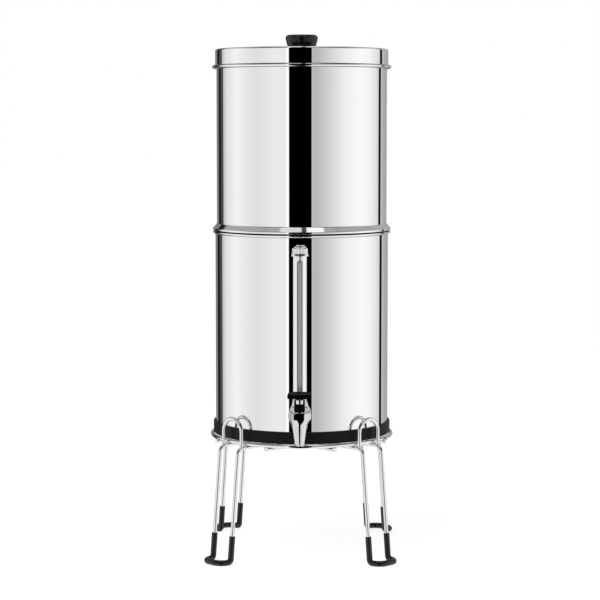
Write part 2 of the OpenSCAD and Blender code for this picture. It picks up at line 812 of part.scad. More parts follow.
module gauge_cap() {
  plate_r = 6.7;
  sunk = 0.5;
  nut_z = cap_low_z + cap_skirt_h;
  plate_z = nut_z + cap_nut_h;
  color("silver") on_stand() at_gauge() difference() {
    union() {
      rotate_extrude() polygon([
        [0, cap_low_z], [flare_d / 2, cap_low_z], [flare_d / 2, cap_low_z + 0.8],
        [cap_d / 2 + 0.2, nut_z], [0, nut_z]
      ]);
      translate([0, 0, nut_z - sunk]) cylinder(d = cap_d, h = cap_nut_h + sunk, $fn = 8);
      ring_solid(0, plate_r, plate_z - sunk, gauge_top_z);
    }
    ring_solid(0, shield_r + fit_gap, cap_low_z - 1, shield_top_z + fit_gap);
    ring_solid(0, glass_d / 2 + fit_gap, cap_low_z, glass_top_z + fit_gap);
    ring_solid(0, seal_pocket_d / 2, shield_top_z, shield_top_z + seal_d + fit_gap);
  }
}

// One sealing ring round each end of the sight glass
module gauge_seals() {
  color([0.1, 0.1, 0.1]) on_stand() at_gauge()
    for (z = [boss_top_z - seal_d / 2, shield_top_z + seal_d / 2 + fit_gap])
      translate([0, 0, z]) rotate_extrude() translate([glass_d / 2 + seal_d / 2 + fit_gap, 0])
        circle(d = seal_d - 2 * fit_gap, $fn = 48);
}

// ---- Upper chamber ----

module upper_chamber() {
  r_in = upper_r - wall;
  out_r = upper_r + stop_out;
  cone_z = stop_z + stop_lip;
  top_z = stop_z + stop_h;
  low_z = upper_floor_z;
  hem_from = -acos((upper_r - hem_mid_r) / hem_r);
  hem_to = 360 - acos((r_in - hem_mid_r) / hem_r);
  color("gainsboro") on_stand() difference() {
    rotate_extrude() polygon(concat(
      [[0, low_z]],
      arc(upper_r - corner_r, low_z + corner_r, corner_r, -90, 0, 6),
      [[upper_r, stop_z], [out_r - 0.6, stop_z], [out_r, stop_z + 0.6], [out_r, cone_z], [upper_r, top_z]],
      arc(hem_mid_r, hem_mid_z, hem_r, hem_from, hem_to, 16),
      [[r_in, top_z], [out_r - wall, cone_z], [out_r - wall, stop_z + wall], [r_in, stop_z + wall]],
      arc(upper_r - corner_r, low_z + corner_r, corner_r - wall, 0, -90, 6),
      [[0, low_z + wall]]
    ));
    for (s = [-1, 1]) translate([s * filter_pitch / 2, 0, low_z - 1])
      cylinder(r = stem_hole_r, h = wall + 2);
  }
}

module at_filter(s) { on_stand() translate([s * filter_pitch / 2, 0, 0]) children(); }

// Carbon block between its base and its top cap
module filter_element(s) {
  low = filter_low_z + filter_base_h - 4;
  high = filter_low_z + filter_h - filter_cap_h + 4;
  color([0.13, 0.13, 0.13]) at_filter(s) ring_solid(filter_core_d / 2, filter_d / 2 - 1.5, low, high);
}

// Moulded base with its threaded outlet stem, which carries the water through the floor
module filter_base(s) {
  rim_r = filter_d / 2;
  cup_z = filter_low_z + filter_base_h - 4 - fit_gap;
  stem_low_z = upper_floor_z - outlet_stem_l;
  stem_r = outlet_stem_d / 2;
  color([0.2, 0.2, 0.2]) at_filter(s) difference() {
    rotate_extrude() polygon([
      [0, stem_low_z], [stem_r - 1, stem_low_z], [stem_r, stem_low_z + 1], [stem_r, filter_low_z],
      [rim_r - 6, filter_low_z], [rim_r, filter_low_z + 4], [rim_r, filter_low_z + filter_base_h],
      [rim_r - 1.5 + fit_gap, filter_low_z + filter_base_h], [rim_r - 1.5 + fit_gap, cup_z], [0, cup_z]
    ]);
    ring_solid(0, stem_r - outlet_wall, stem_low_z - 1, filter_low_z + filter_base_h);
  }
}

module filter_top(s) {
  rim_r = filter_d / 2;
  high = filter_low_z + filter_h;
  low = high - filter_cap_h;
  cup_z = low + 4 + fit_gap;
  color([0.2, 0.2, 0.2]) at_filter(s) rotate_extrude() polygon([
    [0, cup_z], [rim_r - 1.5 + fit_gap, cup_z], [rim_r - 1.5 + fit_gap, low], [rim_r, low],
    [rim_r, high - 2], [rim_r - 2, high], [0, high]
  ]);
}

// Sealing washers: one above the chamber's floor and one below it, at each stem
module filter_washers() {
  bore_r = outlet_stem_d / 2 + fit_gap;
  color([0.3, 0.3, 0.3]) for (s = [-1, 1]) at_filter(s) {
    ring_solid(bore_r, bore_r + 9, upper_floor_z + wall + fit_gap, filter_low_z - fit_gap);
    ring_solid(bore_r, bore_r + 6, upper_floor_z - filter_washer_t, upper_floor_z - fit_gap);
  }
}

module wing_nuts() {
  high = upper_floor_z - filter_washer_t - fit_gap;
  hub_r = outlet_stem_d / 2 + 4;
  wing_l = 9;
  wing_t = 3;
  color("whitesmoke") for (s = [-1, 1]) at_filter(s) translate([0, 0, high - wing_hub_h]) difference() {
    union() {
      cylinder(r = hub_r, h = wing_hub_h);
      translate([-hub_r - wing_l, -wing_t / 2, -3]) cube([2 * (hub_r + wing_l), wing_t, wing_hub_h]);
    }
    translate([0, 0, -4]) cylinder(r = outlet_stem_d / 2 + fit_gap, h = wing_hub_h + 5);
  }
}

// ---- Lid ----

// Height of the lid's dome above its shoulder at radius r: a parabola up to the knob's flat seat
function dome(r) =
  let (edge = lid_out_r - lid_corner_out)
  lid_rise * (1 - pow(max(r - knob_seat_r, 0) / (edge - knob_seat_r), 2));

module lid() {
  edge_r = lid_out_r - lid_corner_out;
  bead_r = lid_bead_d / 2;
  outer_meet = 180 - acos((lid_bead_mid_r - lid_out_r) / bead_r);
  dome_steps = 14;
  dome_rs = [for (k = [1:dome_steps]) edge_r + (knob_seat_r - edge_r) * k / dome_steps];
  hole_r = screw_r + 0.25;
  color("gainsboro") on_stand() rotate_extrude() polygon(concat(
    arc(lid_bead_mid_r, lid_bead_z, bead_r, -180, outer_meet, 18),
    arc(edge_r, hem_mid_z, lid_corner_out, 0, 90, 6),
    [for (r = dome_rs) [r, lid_shoulder_z + dome(r)]],
    [[hole_r, lid_top_z], [hole_r, lid_top_z - wall]],
    [for (k = [dome_steps - 1:-1:0]) [dome_rs[k], lid_shoulder_z - wall + dome(dome_rs[k])]],
    arc(edge_r, hem_mid_z, lid_corner_in, 90, 0, 6)
  ));
}

module lid_knob() {
  foot_r = knob_foot_d / 2;
  top_r = knob_top_d / 2;
  edge = 1.6;
  high = lid_top_z + knob_h;
  dish_steps = 8;
  dish_r = top_r - edge - 0.8;
  color([0.05, 0.05, 0.05]) on_stand() difference() {
    rotate_extrude() polygon(concat(
      [[0, lid_top_z], [foot_r - 0.5, lid_top_z], [foot_r, lid_top_z + 0.5]],
      arc(top_r - edge, high - edge, edge, -20, 90, 6),
      [for (k = [0:dish_steps]) let (r = dish_r * (1 - k / dish_steps))
        [r, high - knob_dish * (1 - pow(r / dish_r, 2))]]
    ));
    translate([0, 0, lid_top_z - 1]) cylinder(r = screw_r + fit_gap, h = knob_thread_l + 1);
  }
}

module knob_washer() {
  high = lid_top_z - wall;
  color("silver") on_stand() ring_solid(screw_r + 0.25, screw_r + 4.5, high - knob_washer_t, high);
}

module knob_screw() {
  head_top = lid_top_z - wall - knob_washer_t;
  head_low = head_top - screw_head_h;
  head_r = screw_r + 2.2;
  end_z = lid_top_z + knob_thread_l - 0.5;
  cross_w = 1;
  cross_depth = 1.2;
  color("silver") on_stand() difference() {
    rotate_extrude() polygon([
      [0, head_low], [head_r - 0.8, head_low], [head_r, head_low + 0.8], [head_r, head_top],
      [screw_r, head_top], [screw_r, end_z - 0.5], [screw_r - 0.5, end_z], [0, end_z]
    ]);
    for (turn = [0, 90]) rotate(turn)
      translate([-head_r * 0.6, -cross_w / 2, head_low - 1]) cube([head_r * 1.2, cross_w, 1 + cross_depth]);
  }
}

module steel(turn) { color("silver") at_corner(turn) children(); }
module rubber(turn) { color([0.08, 0.08, 0.08]) at_corner(turn) children(); }

stand_hoop();
steel(225) leg_wire();  // leg_front_left
steel(315) leg_wire();  // leg_front_right
steel(135) leg_wire();  // leg_rear_left
steel(45) leg_wire();  // leg_rear_right
steel(225) retaining_loop();  // loop_front_left
steel(315) retaining_loop();  // loop_front_right
steel(135) retaining_loop();  // loop_rear_left
steel(45) retaining_loop();  // loop_rear_right
rubber(225) foot_sleeve();  // sleeve_front_left
rubber(315) foot_sleeve();  // sleeve_front_right
rubber(135) foot_sleeve();  // sleeve_rear_left
rubber(45) foot_sleeve();  // sleeve_rear_right
lower_chamber();
base_ring();
base_pad();
tap_body();
tap_bonnet();
bonnet_guide();
heel_plate();
tap_spring();
shank_nut();
shank_washer_outer();
shank_washer_inner();
gauge_gland();
gauge_glass();
gauge_shield();
gauge_cap();
gauge_seals();
tap_stem();
seat_cup();
tap_lever();
lever_pin();
upper_chamber();
filter_element(-1);  // filter_element_left
filter_element(1);  // filter_element_right
filter_base(-1);  // filter_base_left
filter_base(1);  // filter_base_right
filter_top(-1);  // filter_top_left
filter_top(1);  // filter_top_right
filter_washers();
wing_nuts();
lid();
lid_knob();
knob_screw();
knob_washer();
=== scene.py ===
import math

import bmesh
import bpy
import numpy as np
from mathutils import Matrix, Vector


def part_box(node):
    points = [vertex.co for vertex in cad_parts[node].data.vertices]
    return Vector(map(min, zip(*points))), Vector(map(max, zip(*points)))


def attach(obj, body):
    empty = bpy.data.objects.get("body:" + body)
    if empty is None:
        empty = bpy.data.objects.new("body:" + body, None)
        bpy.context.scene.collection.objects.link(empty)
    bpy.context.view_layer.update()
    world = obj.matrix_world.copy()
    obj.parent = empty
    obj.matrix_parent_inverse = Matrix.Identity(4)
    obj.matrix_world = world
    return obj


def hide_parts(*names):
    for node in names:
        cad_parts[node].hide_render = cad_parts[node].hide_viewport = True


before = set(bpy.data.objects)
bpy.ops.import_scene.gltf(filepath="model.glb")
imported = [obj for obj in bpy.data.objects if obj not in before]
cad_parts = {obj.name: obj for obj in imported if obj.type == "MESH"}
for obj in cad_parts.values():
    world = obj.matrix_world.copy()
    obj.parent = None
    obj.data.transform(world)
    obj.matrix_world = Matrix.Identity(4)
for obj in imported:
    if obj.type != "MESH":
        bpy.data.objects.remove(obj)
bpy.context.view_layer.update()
print("frame loaded,", len(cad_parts), "nodes")

# Lengths below are millimetres. Chamber pieces are drawn from the chambers' axis and the base
# ring's underside, stand pieces from that axis and the floor; both are placed in metres by `place`.
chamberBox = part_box("upper_chamber")
axisY = (chamberBox[0].y + chamberBox[1].y) / 2
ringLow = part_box("base_ring")[0].z


def place(points, onFloor=False):
    # Millimetres to metres, and up from the piece's own zero: p = 0.001 q + (0, axis, height)
    return np.asarray(points, float) * 0.001 + np.array([0, axisY, 0 if onFloor else ringLow])


# Shapes. Each function returns points in millimetres: a line, a profile of (radius, height) or a grid.

def rounded(corners, radii, steps=5, support=0.35):
    # Line a-b-c with each corner b swapped for an arc of radius r, tangent to both sides:
    # p(t) = centre - r cos t * side + r sin t * along. A point `support` beyond each arc keeps flats flat.
    corners = [np.array(c, float) for c in corners]
    out = [corners[0]]
    for a, b, c, r in zip(corners, corners[1:], corners[2:], radii):
        along = (b - a) / np.linalg.norm(b - a)
        onward = (c - b) / np.linalg.norm(c - b)
        turn = math.acos(np.clip(along @ onward, -1, 1))
        if r <= 0 or turn < 1e-3:
            out.append(b)
            continue
        side = onward - (onward @ along) * along
        side /= np.linalg.norm(side)
        reach = r * math.tan(turn / 2)
        centre = b - reach * along + r * side
        t = np.linspace(0, turn, steps + 1)[:, None]
        before = min(support, 0.4 * max(np.linalg.norm(b - a) - reach, 0))
        after = min(support, 0.4 * max(np.linalg.norm(c - b) - reach, 0))
        out.append(b - (reach + before) * along)
        out.extend(centre - r * np.cos(t) * side + r * np.sin(t) * along)
        out.append(b + (reach + after) * onward)
    out.append(corners[-1])
    return np.array(out)


def arc(cx, cy, r, fromDeg, toDeg, steps):
    # Part of a circle: p(t) = (cx + r cos t, cy + r sin t), with t in equal steps
    t = np.radians(np.linspace(fromDeg, toDeg, steps + 1))
    return np.stack([cx + r * np.cos(t), cy + r * np.sin(t)], 1)


def lathe(profile, x=0.0, y=0.0, steps=192):
    # Turned surface: p(i, j) = (x + r_i cos t_j, y + r_i sin t_j, z_i)
    profile = np.asarray(profile, float)
    t = np.linspace(0, 2 * np.pi, steps, endpoint=False)
    r, z = profile[:, :1], profile[:, 1:]
    return np.stack([x + r * np.cos(t), y + r * np.sin(t), z + 0 * t], 2)


def cutLathe(profile, flats, x=0.0, y=0.0, steps=240):
    # Turned surface with flats cut on it. Rows are (radius, z, cut), and where cut is 1 the radius is the
    # soft minimum of the turned radius r and the flats at distance a in the directions t_k:
    # R^-n = r^-n + sum (cos(t - t_k) / a)^n
    profile = np.asarray(profile, float)
    t = np.linspace(0, 2 * np.pi, steps, endpoint=False)
    k = np.radians(flats["turnDeg"]) + 2 * np.pi * np.arange(flats["sides"]) / flats["sides"]
    n = flats["sharp"]
    facing = (np.clip(np.cos(t[:, None] - k), 0, 1) ** n).sum(1)
    turned = np.maximum(profile[:, :1], 1e-6)
    soft = (1 + profile[:, 2:] * facing * (turned / flats["apothem"]) ** n) ** (-1 / n)
    r = profile[:, :1] * soft
    return np.stack([x + r * np.cos(t), y + r * np.sin(t), profile[:, 1:2] + 0 * t], 2)


def carriedFrames(path, side):
    # Tangents from neighbouring points, and a side vector carried along them without twist:
    # side_i = side_(i-1) less its share along tangent_i, at length 1, and across_i = tangent_i x side_i
    path = np.asarray(path, float)
    tangent = np.gradient(path, axis=0)
    tangent /= np.linalg.norm(tangent, axis=1)[:, None]
    sides = []
    now = np.array(side, float)
    for d in tangent:
        now = now - (now @ d) * d
        now = now / np.linalg.norm(now)
        sides.append(now)
    sides = np.array(sides)
    return sides, np.cross(tangent, sides)


def sweep(path, radii, side, steps=18):
    # Round wire: p(i, j) = path_i + radius_i (cos t_j side_i + sin t_j across_i)
    sides, across = carriedFrames(path, side)
    t = np.linspace(0, 2 * np.pi, steps, endpoint=False)[None, :, None]
    r = np.asarray(radii, float)[:, None, None]
    return np.asarray(path, float)[:, None] + r * (np.cos(t) * sides[:, None] + np.sin(t) * across[:, None])


def cutEnds(path, r, ease):
    # Adds both cut ends of a wire: the radius eases from r - ease at the face to r, and 0 at its middle.
    # With t from 0 to 90 degrees, radius = r - ease + ease cos t and distance in = ease (1 - sin t).
    path = np.asarray(path, float)
    lead = (path[1] - path[0]) / np.linalg.norm(path[1] - path[0])
    tail = (path[-1] - path[-2]) / np.linalg.norm(path[-1] - path[-2])
    t = np.radians([0, 30, 60, 90])[:, None]
    first = (path[0] + ease * (1 - np.sin(t)) * lead)[::-1]
    last = path[-1] - ease * (1 - np.sin(t)) * tail
    eased = r - ease + ease * np.cos(t[:, 0])
    full = np.concatenate([path[:1] - 0.002 * lead, first, path[1:-1], last, path[-1:] + 0.002 * tail])
    radii = np.concatenate([[0], eased[::-1], np.full(len(path) - 2, r), eased, [0]])
    return full, radii


def slab(outline, low, high, ease):
    # Plate with eased edges: the outline shrinks by ease (1 - cos a) while the height moves by
    # ease (1 - sin a). A row further in, and one beyond each easing, keep the faces flat.
    outline = np.asarray(outline, float)
    edge = np.roll(outline, -1, 0) - np.roll(outline, 1, 0)
    out = np.stack([edge[:, 1], -edge[:, 0]], 1)
    out /= np.linalg.norm(out, axis=1)[:, None]
    a = np.radians(np.linspace(0, 90, 5))
    inset = ease * (1 - np.cos(a))
    rise = ease * (1 - np.sin(a))
    rows = [(ease + 0.6, low)] + [(d, low + h) for d, h in zip(inset[::-1], rise[::-1])]
    rows += [(0, low + 1.3 * ease), (0, high - 1.3 * ease)]
    rows += [(d, high - h) for d, h in zip(inset, rise)] + [(ease + 0.6, high)]
    middle = outline.mean(0)
    grid = np.array([np.column_stack([outline - d * out, np.full(len(outline), z)]) for d, z in rows])
    foot = np.broadcast_to([*middle, low], grid[:1].shape)
    head = np.broadcast_to([*middle, high], grid[:1].shape)
    return np.concatenate([foot, grid, head])


def piece(name, grids, body, replaced=(), onFloor=False, ringed=(), sharpDeg=38):
    # Joins grids of points into one mesh of quads, closes seams and poles, and turns all faces outwards.
    # A grid whose index is in `ringed` also closes from its last row to its first.
    points, quads, start = [], [], 0
    for index, grid in enumerate(grids):
        rows, cols = grid.shape[:2]
        i = np.arange(rows if index in ringed else rows - 1)[:, None]
        j = np.arange(cols)[None]
        nextI, nextJ = (i + 1) % rows, (j + 1) % cols
        corners = [i * cols + j, i * cols + nextJ, nextI * cols + nextJ, nextI * cols + j]
        quads.append(start + np.stack([c.ravel() for c in corners], 1))
        points.append(place(grid.reshape(-1, 3), onFloor))
        start += rows * cols
    mesh = bpy.data.meshes.new(name)
    mesh.from_pydata(np.concatenate(points).tolist(), [], np.concatenate(quads).tolist())
    shaped = bmesh.new()
    shaped.from_mesh(mesh)
    bmesh.ops.remove_doubles(shaped, verts=shaped.verts, dist=1e-6)
    bmesh.ops.dissolve_degenerate(shaped, edges=shaped.edges, dist=1e-7)
    bmesh.ops.recalc_face_normals(shaped, faces=shaped.faces)
    shaped.to_mesh(mesh)
    shaped.free()
    mesh.shade_smooth()
    mesh.set_sharp_from_angle(angle=math.radians(sharpDeg))
    made = bpy.data.objects.new(name, mesh)
    bpy.context.scene.collection.objects.link(made)
    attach(made, body)
    if replaced:
        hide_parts(*replaced)
    return made


# Materials. An effect that several share is a node group, and the shader stays in each material.

def groupOf(name, inputs, outputs):
    # A shader node group with named sockets: inputs are (name, default), outputs (name, kind)
    tree = bpy.data.node_groups.new(name, "ShaderNodeTree")
    for label, value in inputs:
        kind = "NodeSocketColor" if isinstance(value, tuple) else "NodeSocketFloat"
        socket = tree.interface.new_socket(name=label, in_out="INPUT", socket_type=kind)
        socket.default_value = value
    for label, kind in outputs:
        tree.interface.new_socket(name=label, in_out="OUTPUT", socket_type="NodeSocket" + kind)
    return tree, tree.nodes.new("NodeGroupInput"), tree.nodes.new("NodeGroupOutput")


def node(tree, kind, **values):
    # A new shader node, with each value given to the setting or the socket of that name
    made = tree.nodes.new("ShaderNode" + kind)
    for key, value in values.items():
        if hasattr(made, key):
            setattr(made, key, value)
        else:
            made.inputs[key.replace("_", " ")].default_value = value
    return made


def math2(tree, operation, a, b):
    # A Math node on two values, each a number or another node's output
    made = node(tree, "Math", operation=operation)
    for socket, value in zip(made.inputs, (a, b)):
        if isinstance(value, (int, float)):
            socket.default_value = value
        else:
            tree.links.new(value, socket)
    return made.outputs[0]


def mixOf(tree, kind, share, first, second):
    # first where share is 0 and second where it is 1: MixRGB for colours, MixShader for shaders
    made = node(tree, kind)
    for socket, value in zip(made.inputs, (share, first, second)):
        tree.links.new(value, socket)
    return made.outputs[0]


def polishMarks():
    # Fine rings left by the polishing wheel and a soft cloudiness, as roughness and height
    tree, given, put = groupOf(
        "polishMarks",
        [("Roughness", 0.05), ("Haze", 0.03), ("Rings", 900.0), ("Cloud Size", 40.0)],
        [("Roughness", "Float"), ("Height", "Float")])
    coords = node(tree, "TexCoord")
    stretch = node(tree, "Mapping")
    stretch.inputs["Scale"].default_value = (0.02, 0.02, 1)
    rings = node(tree, "TexNoise", Detail=3.0)
    cloud = node(tree, "TexNoise", Detail=4.0)
    link = tree.links.new
    link(coords.outputs["Object"], stretch.inputs["Vector"])
    link(stretch.outputs[0], rings.inputs["Vector"])
    link(given.outputs["Rings"], rings.inputs["Scale"])
    link(coords.outputs["Object"], cloud.inputs["Vector"])
    link(given.outputs["Cloud Size"], cloud.inputs["Scale"])
    mixed = math2(tree, "ADD", math2(tree, "MULTIPLY", rings.outputs[0], 0.4),
                  math2(tree, "MULTIPLY", cloud.outputs[0], 0.6))
    link(math2(tree, "ADD", given.outputs["Roughness"],
               math2(tree, "MULTIPLY", mixed, given.outputs["Haze"])), put.inputs["Roughness"])
    link(rings.outputs[0], put.inputs["Height"])
    return tree


def mouldedSkin():
    # Moulded rubber or plastic: a fine grain, a slow change of tone and shine
    tree, given, put = groupOf(
        "mouldedSkin",
        [("Color", (0.02, 0.02, 0.02, 1.0)), ("Lighter", (0.04, 0.04, 0.04, 1.0)), ("Roughness", 0.4),
         ("Change", 0.1), ("Grain", 900.0)],
        [("Color", "Color"), ("Roughness", "Float"), ("Height", "Float")])
    coords = node(tree, "TexCoord")
    grain = node(tree, "TexNoise", Detail=2.0, Roughness=0.6)
    tone = node(tree, "TexNoise", Scale=55.0, Detail=5.0)
    link = tree.links.new
    link(coords.outputs["Object"], grain.inputs["Vector"])
    link(coords.outputs["Object"], tone.inputs["Vector"])
    link(given.outputs["Grain"], grain.inputs["Scale"])
    link(mixOf(tree, "MixRGB", tone.outputs[0], given.outputs["Color"], given.outputs["Lighter"]),
         put.inputs["Color"])
    both = math2(tree, "ADD", tone.outputs[0], grain.outputs[0])
    link(math2(tree, "ADD", given.outputs["Roughness"],
               math2(tree, "MULTIPLY", math2(tree, "SUBTRACT", both, 1.0), given.outputs["Change"])),
         put.inputs["Roughness"])
    link(grain.outputs[0], put.inputs["Height"])
    return tree


def paintedSeamShade():
    # Painted shade: dark lines in the colour where a pressed edge meets the sheet, standing in for the shade
    # in that crease, at two heights: with d the distance from the line, the share of painted shade is depth *
    # clip((half - d) / softness, 0, 1)
    tree, given, put = groupOf(
        "paintedSeamShade",
        [("Sheet", (*sheetTone, 1.0)), ("Painted Shade", (0.02, 0.02, 0.02, 1.0)), ("Softness", 0.0002),
         ("Line A", 0.0), ("Half A", 0.0005), ("Depth A", 1.0),
         ("Line B", 0.0), ("Half B", 0.0005), ("Depth B", 1.0)],
        [("Color", "Color")])
    coords = node(tree, "TexCoord")
    split = node(tree, "SeparateXYZ")
    link = tree.links.new
    link(coords.outputs["Object"], split.inputs[0])
    tone = given.outputs["Sheet"]
    for mark in "AB":
        above = math2(tree, "SUBTRACT", split.outputs[2], given.outputs["Line " + mark])
        away = math2(tree, "ABSOLUTE", above, 0.0)
        inside = math2(tree, "SUBTRACT", given.outputs["Half " + mark], away)
        share = math2(tree, "DIVIDE", inside, given.outputs["Softness"])
        clipped = math2(tree, "MINIMUM", math2(tree, "MAXIMUM", share, 0.0), 1.0)
        deep = math2(tree, "MULTIPLY", clipped, given.outputs["Depth " + mark])
        tone = mixOf(tree, "MixRGB", deep, tone, given.outputs["Painted Shade"])
    link(tone, put.inputs["Color"])
    return tree


sheetTone = (0.93, 0.93, 0.935)
polishGroup = polishMarks()
# Painted shade: dark lines in the sheets' colour at their seams
paintedSeamShadeGroup = paintedSeamShade()
skinGroup = mouldedSkin()


def placeGroup(tree, group, values):
    # A shared group placed in a material, with a value for each input that is named
    placed = tree.nodes.new("ShaderNodeGroup")
    placed.node_tree = group
    for label, value in values.items():
        placed.inputs[label].default_value = value
    return placed


def material(name, group, groupValues, bumpDepth, **principled):
    # A Principled material whose roughness, bump and, where the group has one, colour come from a group
    made = bpy.data.materials.new(name)
    made.use_nodes = True
    tree = made.node_tree
    shader = tree.nodes["Principled BSDF"]
    for label, value in principled.items():
        shader.inputs[label.replace("_", " ")].default_value = value
    marks = placeGroup(tree, group, groupValues)
    tree.links.new(marks.outputs["Roughness"], shader.inputs["Roughness"])
    if "Color" in marks.outputs:
        tree.links.new(marks.outputs["Color"], shader.inputs["Base Color"])
    bump = node(tree, "Bump", Strength=1.0, Distance=bumpDepth)
    tree.links.new(marks.outputs["Height"], bump.inputs["Height"])
    tree.links.new(bump.outputs["Normal"], shader.inputs["Normal"])
    return made


def metal(name, color, roughness, haze, rings, cloudSize, bumpDepth):
    # Metal of one colour with the polishing marks on it
    values = {"Roughness": roughness, "Haze": haze, "Rings": rings, "Cloud Size": cloudSize}
    return material(name, polishGroup, values, bumpDepth, Base_Color=(*color, 1), Metallic=1.0)


def sheetMetal(name):
    # Polished sheet with two lines of painted shade at its seams
    made = metal(name, sheetTone, 0.012, 0.02, 900, 30, 0.0000004)
    tree, values = made.node_tree, {}
    for mark, (height, half, depth) in zip("AB", seamShadeHeights[name]):
        values["Line " + mark] = ringLow + height * 0.001
        values["Half " + mark] = half * 0.001
        values["Depth " + mark] = depth
    # Paints the shade lines into the sheet's colour
    lines = placeGroup(tree, paintedSeamShadeGroup, values)
    tree.links.new(lines.outputs["Color"], tree.nodes["Principled BSDF"].inputs["Base Color"])
    return made


def moulded(name, color, lighter, roughness, change, grain, bumpDepth, **principled):
    # Rubber, plastic or glass with the moulded skin
    values = {"Color": (*color, 1), "Lighter": (*lighter, 1), "Roughness": roughness,
              "Change": change, "Grain": grain}
    return material(name, skinGroup, values, bumpDepth, **principled)


# Painted shade lines at the seams of each sheet: height above the base ring's underside, half width, and
# depth from 0 to 1
seamShadeHeights = {"lowerSheet": [(258.3, 1.2, 0.97), (254.5, 0.6, 0.6)],
         "upperSheet": [(258.9, 0.35, 0.95), (267.5, 0.3, 0.2)],
         "lidSheet": [(466.5, 0.6, 0.85), (462.5, 0.7, 0.75)]}

# Colour, roughness, haze, scale of the rings, scale of the clouds, bump
metals = {
    "brightWire": ((0.90, 0.90, 0.89), 0.045, 0.06, 400, 260, 0.000004),
    "tapPlating": ((0.78, 0.78, 0.785), 0.05, 0.06, 700, 160, 0.000002),
    "shieldSteel": ((0.92, 0.92, 0.925), 0.03, 0.05, 900, 120, 0.000001),
    "plainSteel": ((0.62, 0.62, 0.61), 0.24, 0.14, 1200, 300, 0.00001)}

# Darker and lighter colour, roughness, its change, scale of the grain, bump, and what else the shader takes
mouldings = {
    "baseRubber": ((0.004,) * 3, (0.009,) * 3, 0.45, 0.12, 1500, 0.00003, {"Specular_IOR_Level": 0.16}),
    "sleeveVinyl": ((0.004,) * 3, (0.007,) * 3, 0.24, 0.08, 1300, 0.00001, {"Specular_IOR_Level": 0.5}),
    "knobPlastic": ((0.003,) * 3, (0.006,) * 3, 0.16, 0.05, 700, 0.000004,
                    {"Specular_IOR_Level": 0.3, "Coat_Weight": 0.15, "Coat_Roughness": 0.06}),
    "leverPlastic": ((0.002,) * 3, (0.004,) * 3, 0.55, 0.1, 1600, 0.00002, {"Specular_IOR_Level": 0.03}),
    "guidePlastic": ((0.002,) * 3, (0.004,) * 3, 0.3, 0.06, 1600, 0.00001, {"Specular_IOR_Level": 0.06}),
    "filterPlastic": ((0.020, 0.020, 0.021), (0.030, 0.030, 0.031), 0.45, 0.12, 1200, 0.00002, {}),
    "carbonBlock": ((0.010, 0.010, 0.010), (0.045, 0.045, 0.044), 0.85, 0.2, 1700, 0.0002, {}),
    "sealRubber": ((0.05,) * 3, (0.08,) * 3, 0.55, 0.1, 1300, 0.00002, {}),
    "seatSilicone": ((0.70, 0.70, 0.68), (0.78, 0.78, 0.76), 0.4, 0.1, 1000, 0.00001,
                     {"Subsurface_Weight": 0.2, "Subsurface_Scale": 0.002}),
    "nutPlastic": ((0.74, 0.74, 0.72), (0.82, 0.82, 0.80), 0.4, 0.1, 1000, 0.00002, {}),
    "sightGlass": ((0.62, 0.63, 0.63), (0.66, 0.67, 0.67), 0.04, 0.02, 300, 0.0000004,
                   {"Transmission_Weight": 0.3, "IOR": 2.1, "Coat_Weight": 1.0, "Coat_Roughness": 0.03,
                    "Coat_IOR": 2.4})}

# The three sheets carry painted shade lines at their seams
finishes = {name: sheetMetal(name) for name in seamShadeHeights}
for name, values in metals.items():
    finishes[name] = metal(name, *values)
for name, (*values, principled) in mouldings.items():
    finishes[name] = moulded(name, *values, **principled)


def wear(made, finish):
    # Gives a piece its one finish
    made.data.materials.clear()
    made.data.materials.append(finishes[finish])
    return made


print("materials made,", len(finishes))

# Chambers, lid, knob and base ring: profiles of (radius, height), turned about the axis by lathe()

sheet = {"wall": 0.8, "cornerR": 5.0}
lower = {"r": 110.0, "low": 2.0, "high": 258.5, "rimR": 2.0, "rimMid": 110.9}
upper = {"r": 108.0, "low": 236.3, "stopLow": 258.8, "stopOut": 113.1, "lip": 2.5, "stopHigh": 267.3,
         "hemR": 1.3, "hemMid": 107.2, "high": 485.8}
lidSizes = {"inR": 108.8, "shoulder": 486.9, "corner": 2.4, "beadMid": 111.15, "beadR": 2.35,
            "beadZ": 464.6, "rise": 2.5, "seatR": 18.0, "holeR": 2.75}


def lowerProfile():
    # Up the outside from the middle of the floor, round the rolled rim and down the inside. The rim's
    # circle meets a wall at radius r where cos(angle) = (r - middle) / rim radius.
    wall, c = sheet["wall"], sheet["cornerR"]
    r, rIn = lower["r"], lower["r"] - wall
    low, floorZ = lower["low"], lower["low"] + wall
    beadZ = lower["high"] - lower["rimR"]
    outMeet = 360 - math.degrees(math.acos((r - lower["rimMid"]) / lower["rimR"]))
    inMeet = 360 + math.degrees(math.acos((rIn - lower["rimMid"]) / lower["rimR"]))
    bead = arc(lower["rimMid"], beadZ, lower["rimR"], outMeet, inMeet, 30)
    outside = rounded([(0, low), (r, low), (r, bead[0][1])], [c], 10, 1.5)
    inside = rounded([(rIn, bead[-1][1]), (rIn, floorZ), (0, floorZ)], [c - wall], 10, 1.5)
    edge = [[r, bead[0][1] - 0.4]]  # keeps the wall flat up to the rim
    innerEdge = [[rIn, bead[-1][1] - 0.6]]
    return np.concatenate([outside[:-1], edge, bead, innerEdge, inside[1:]])


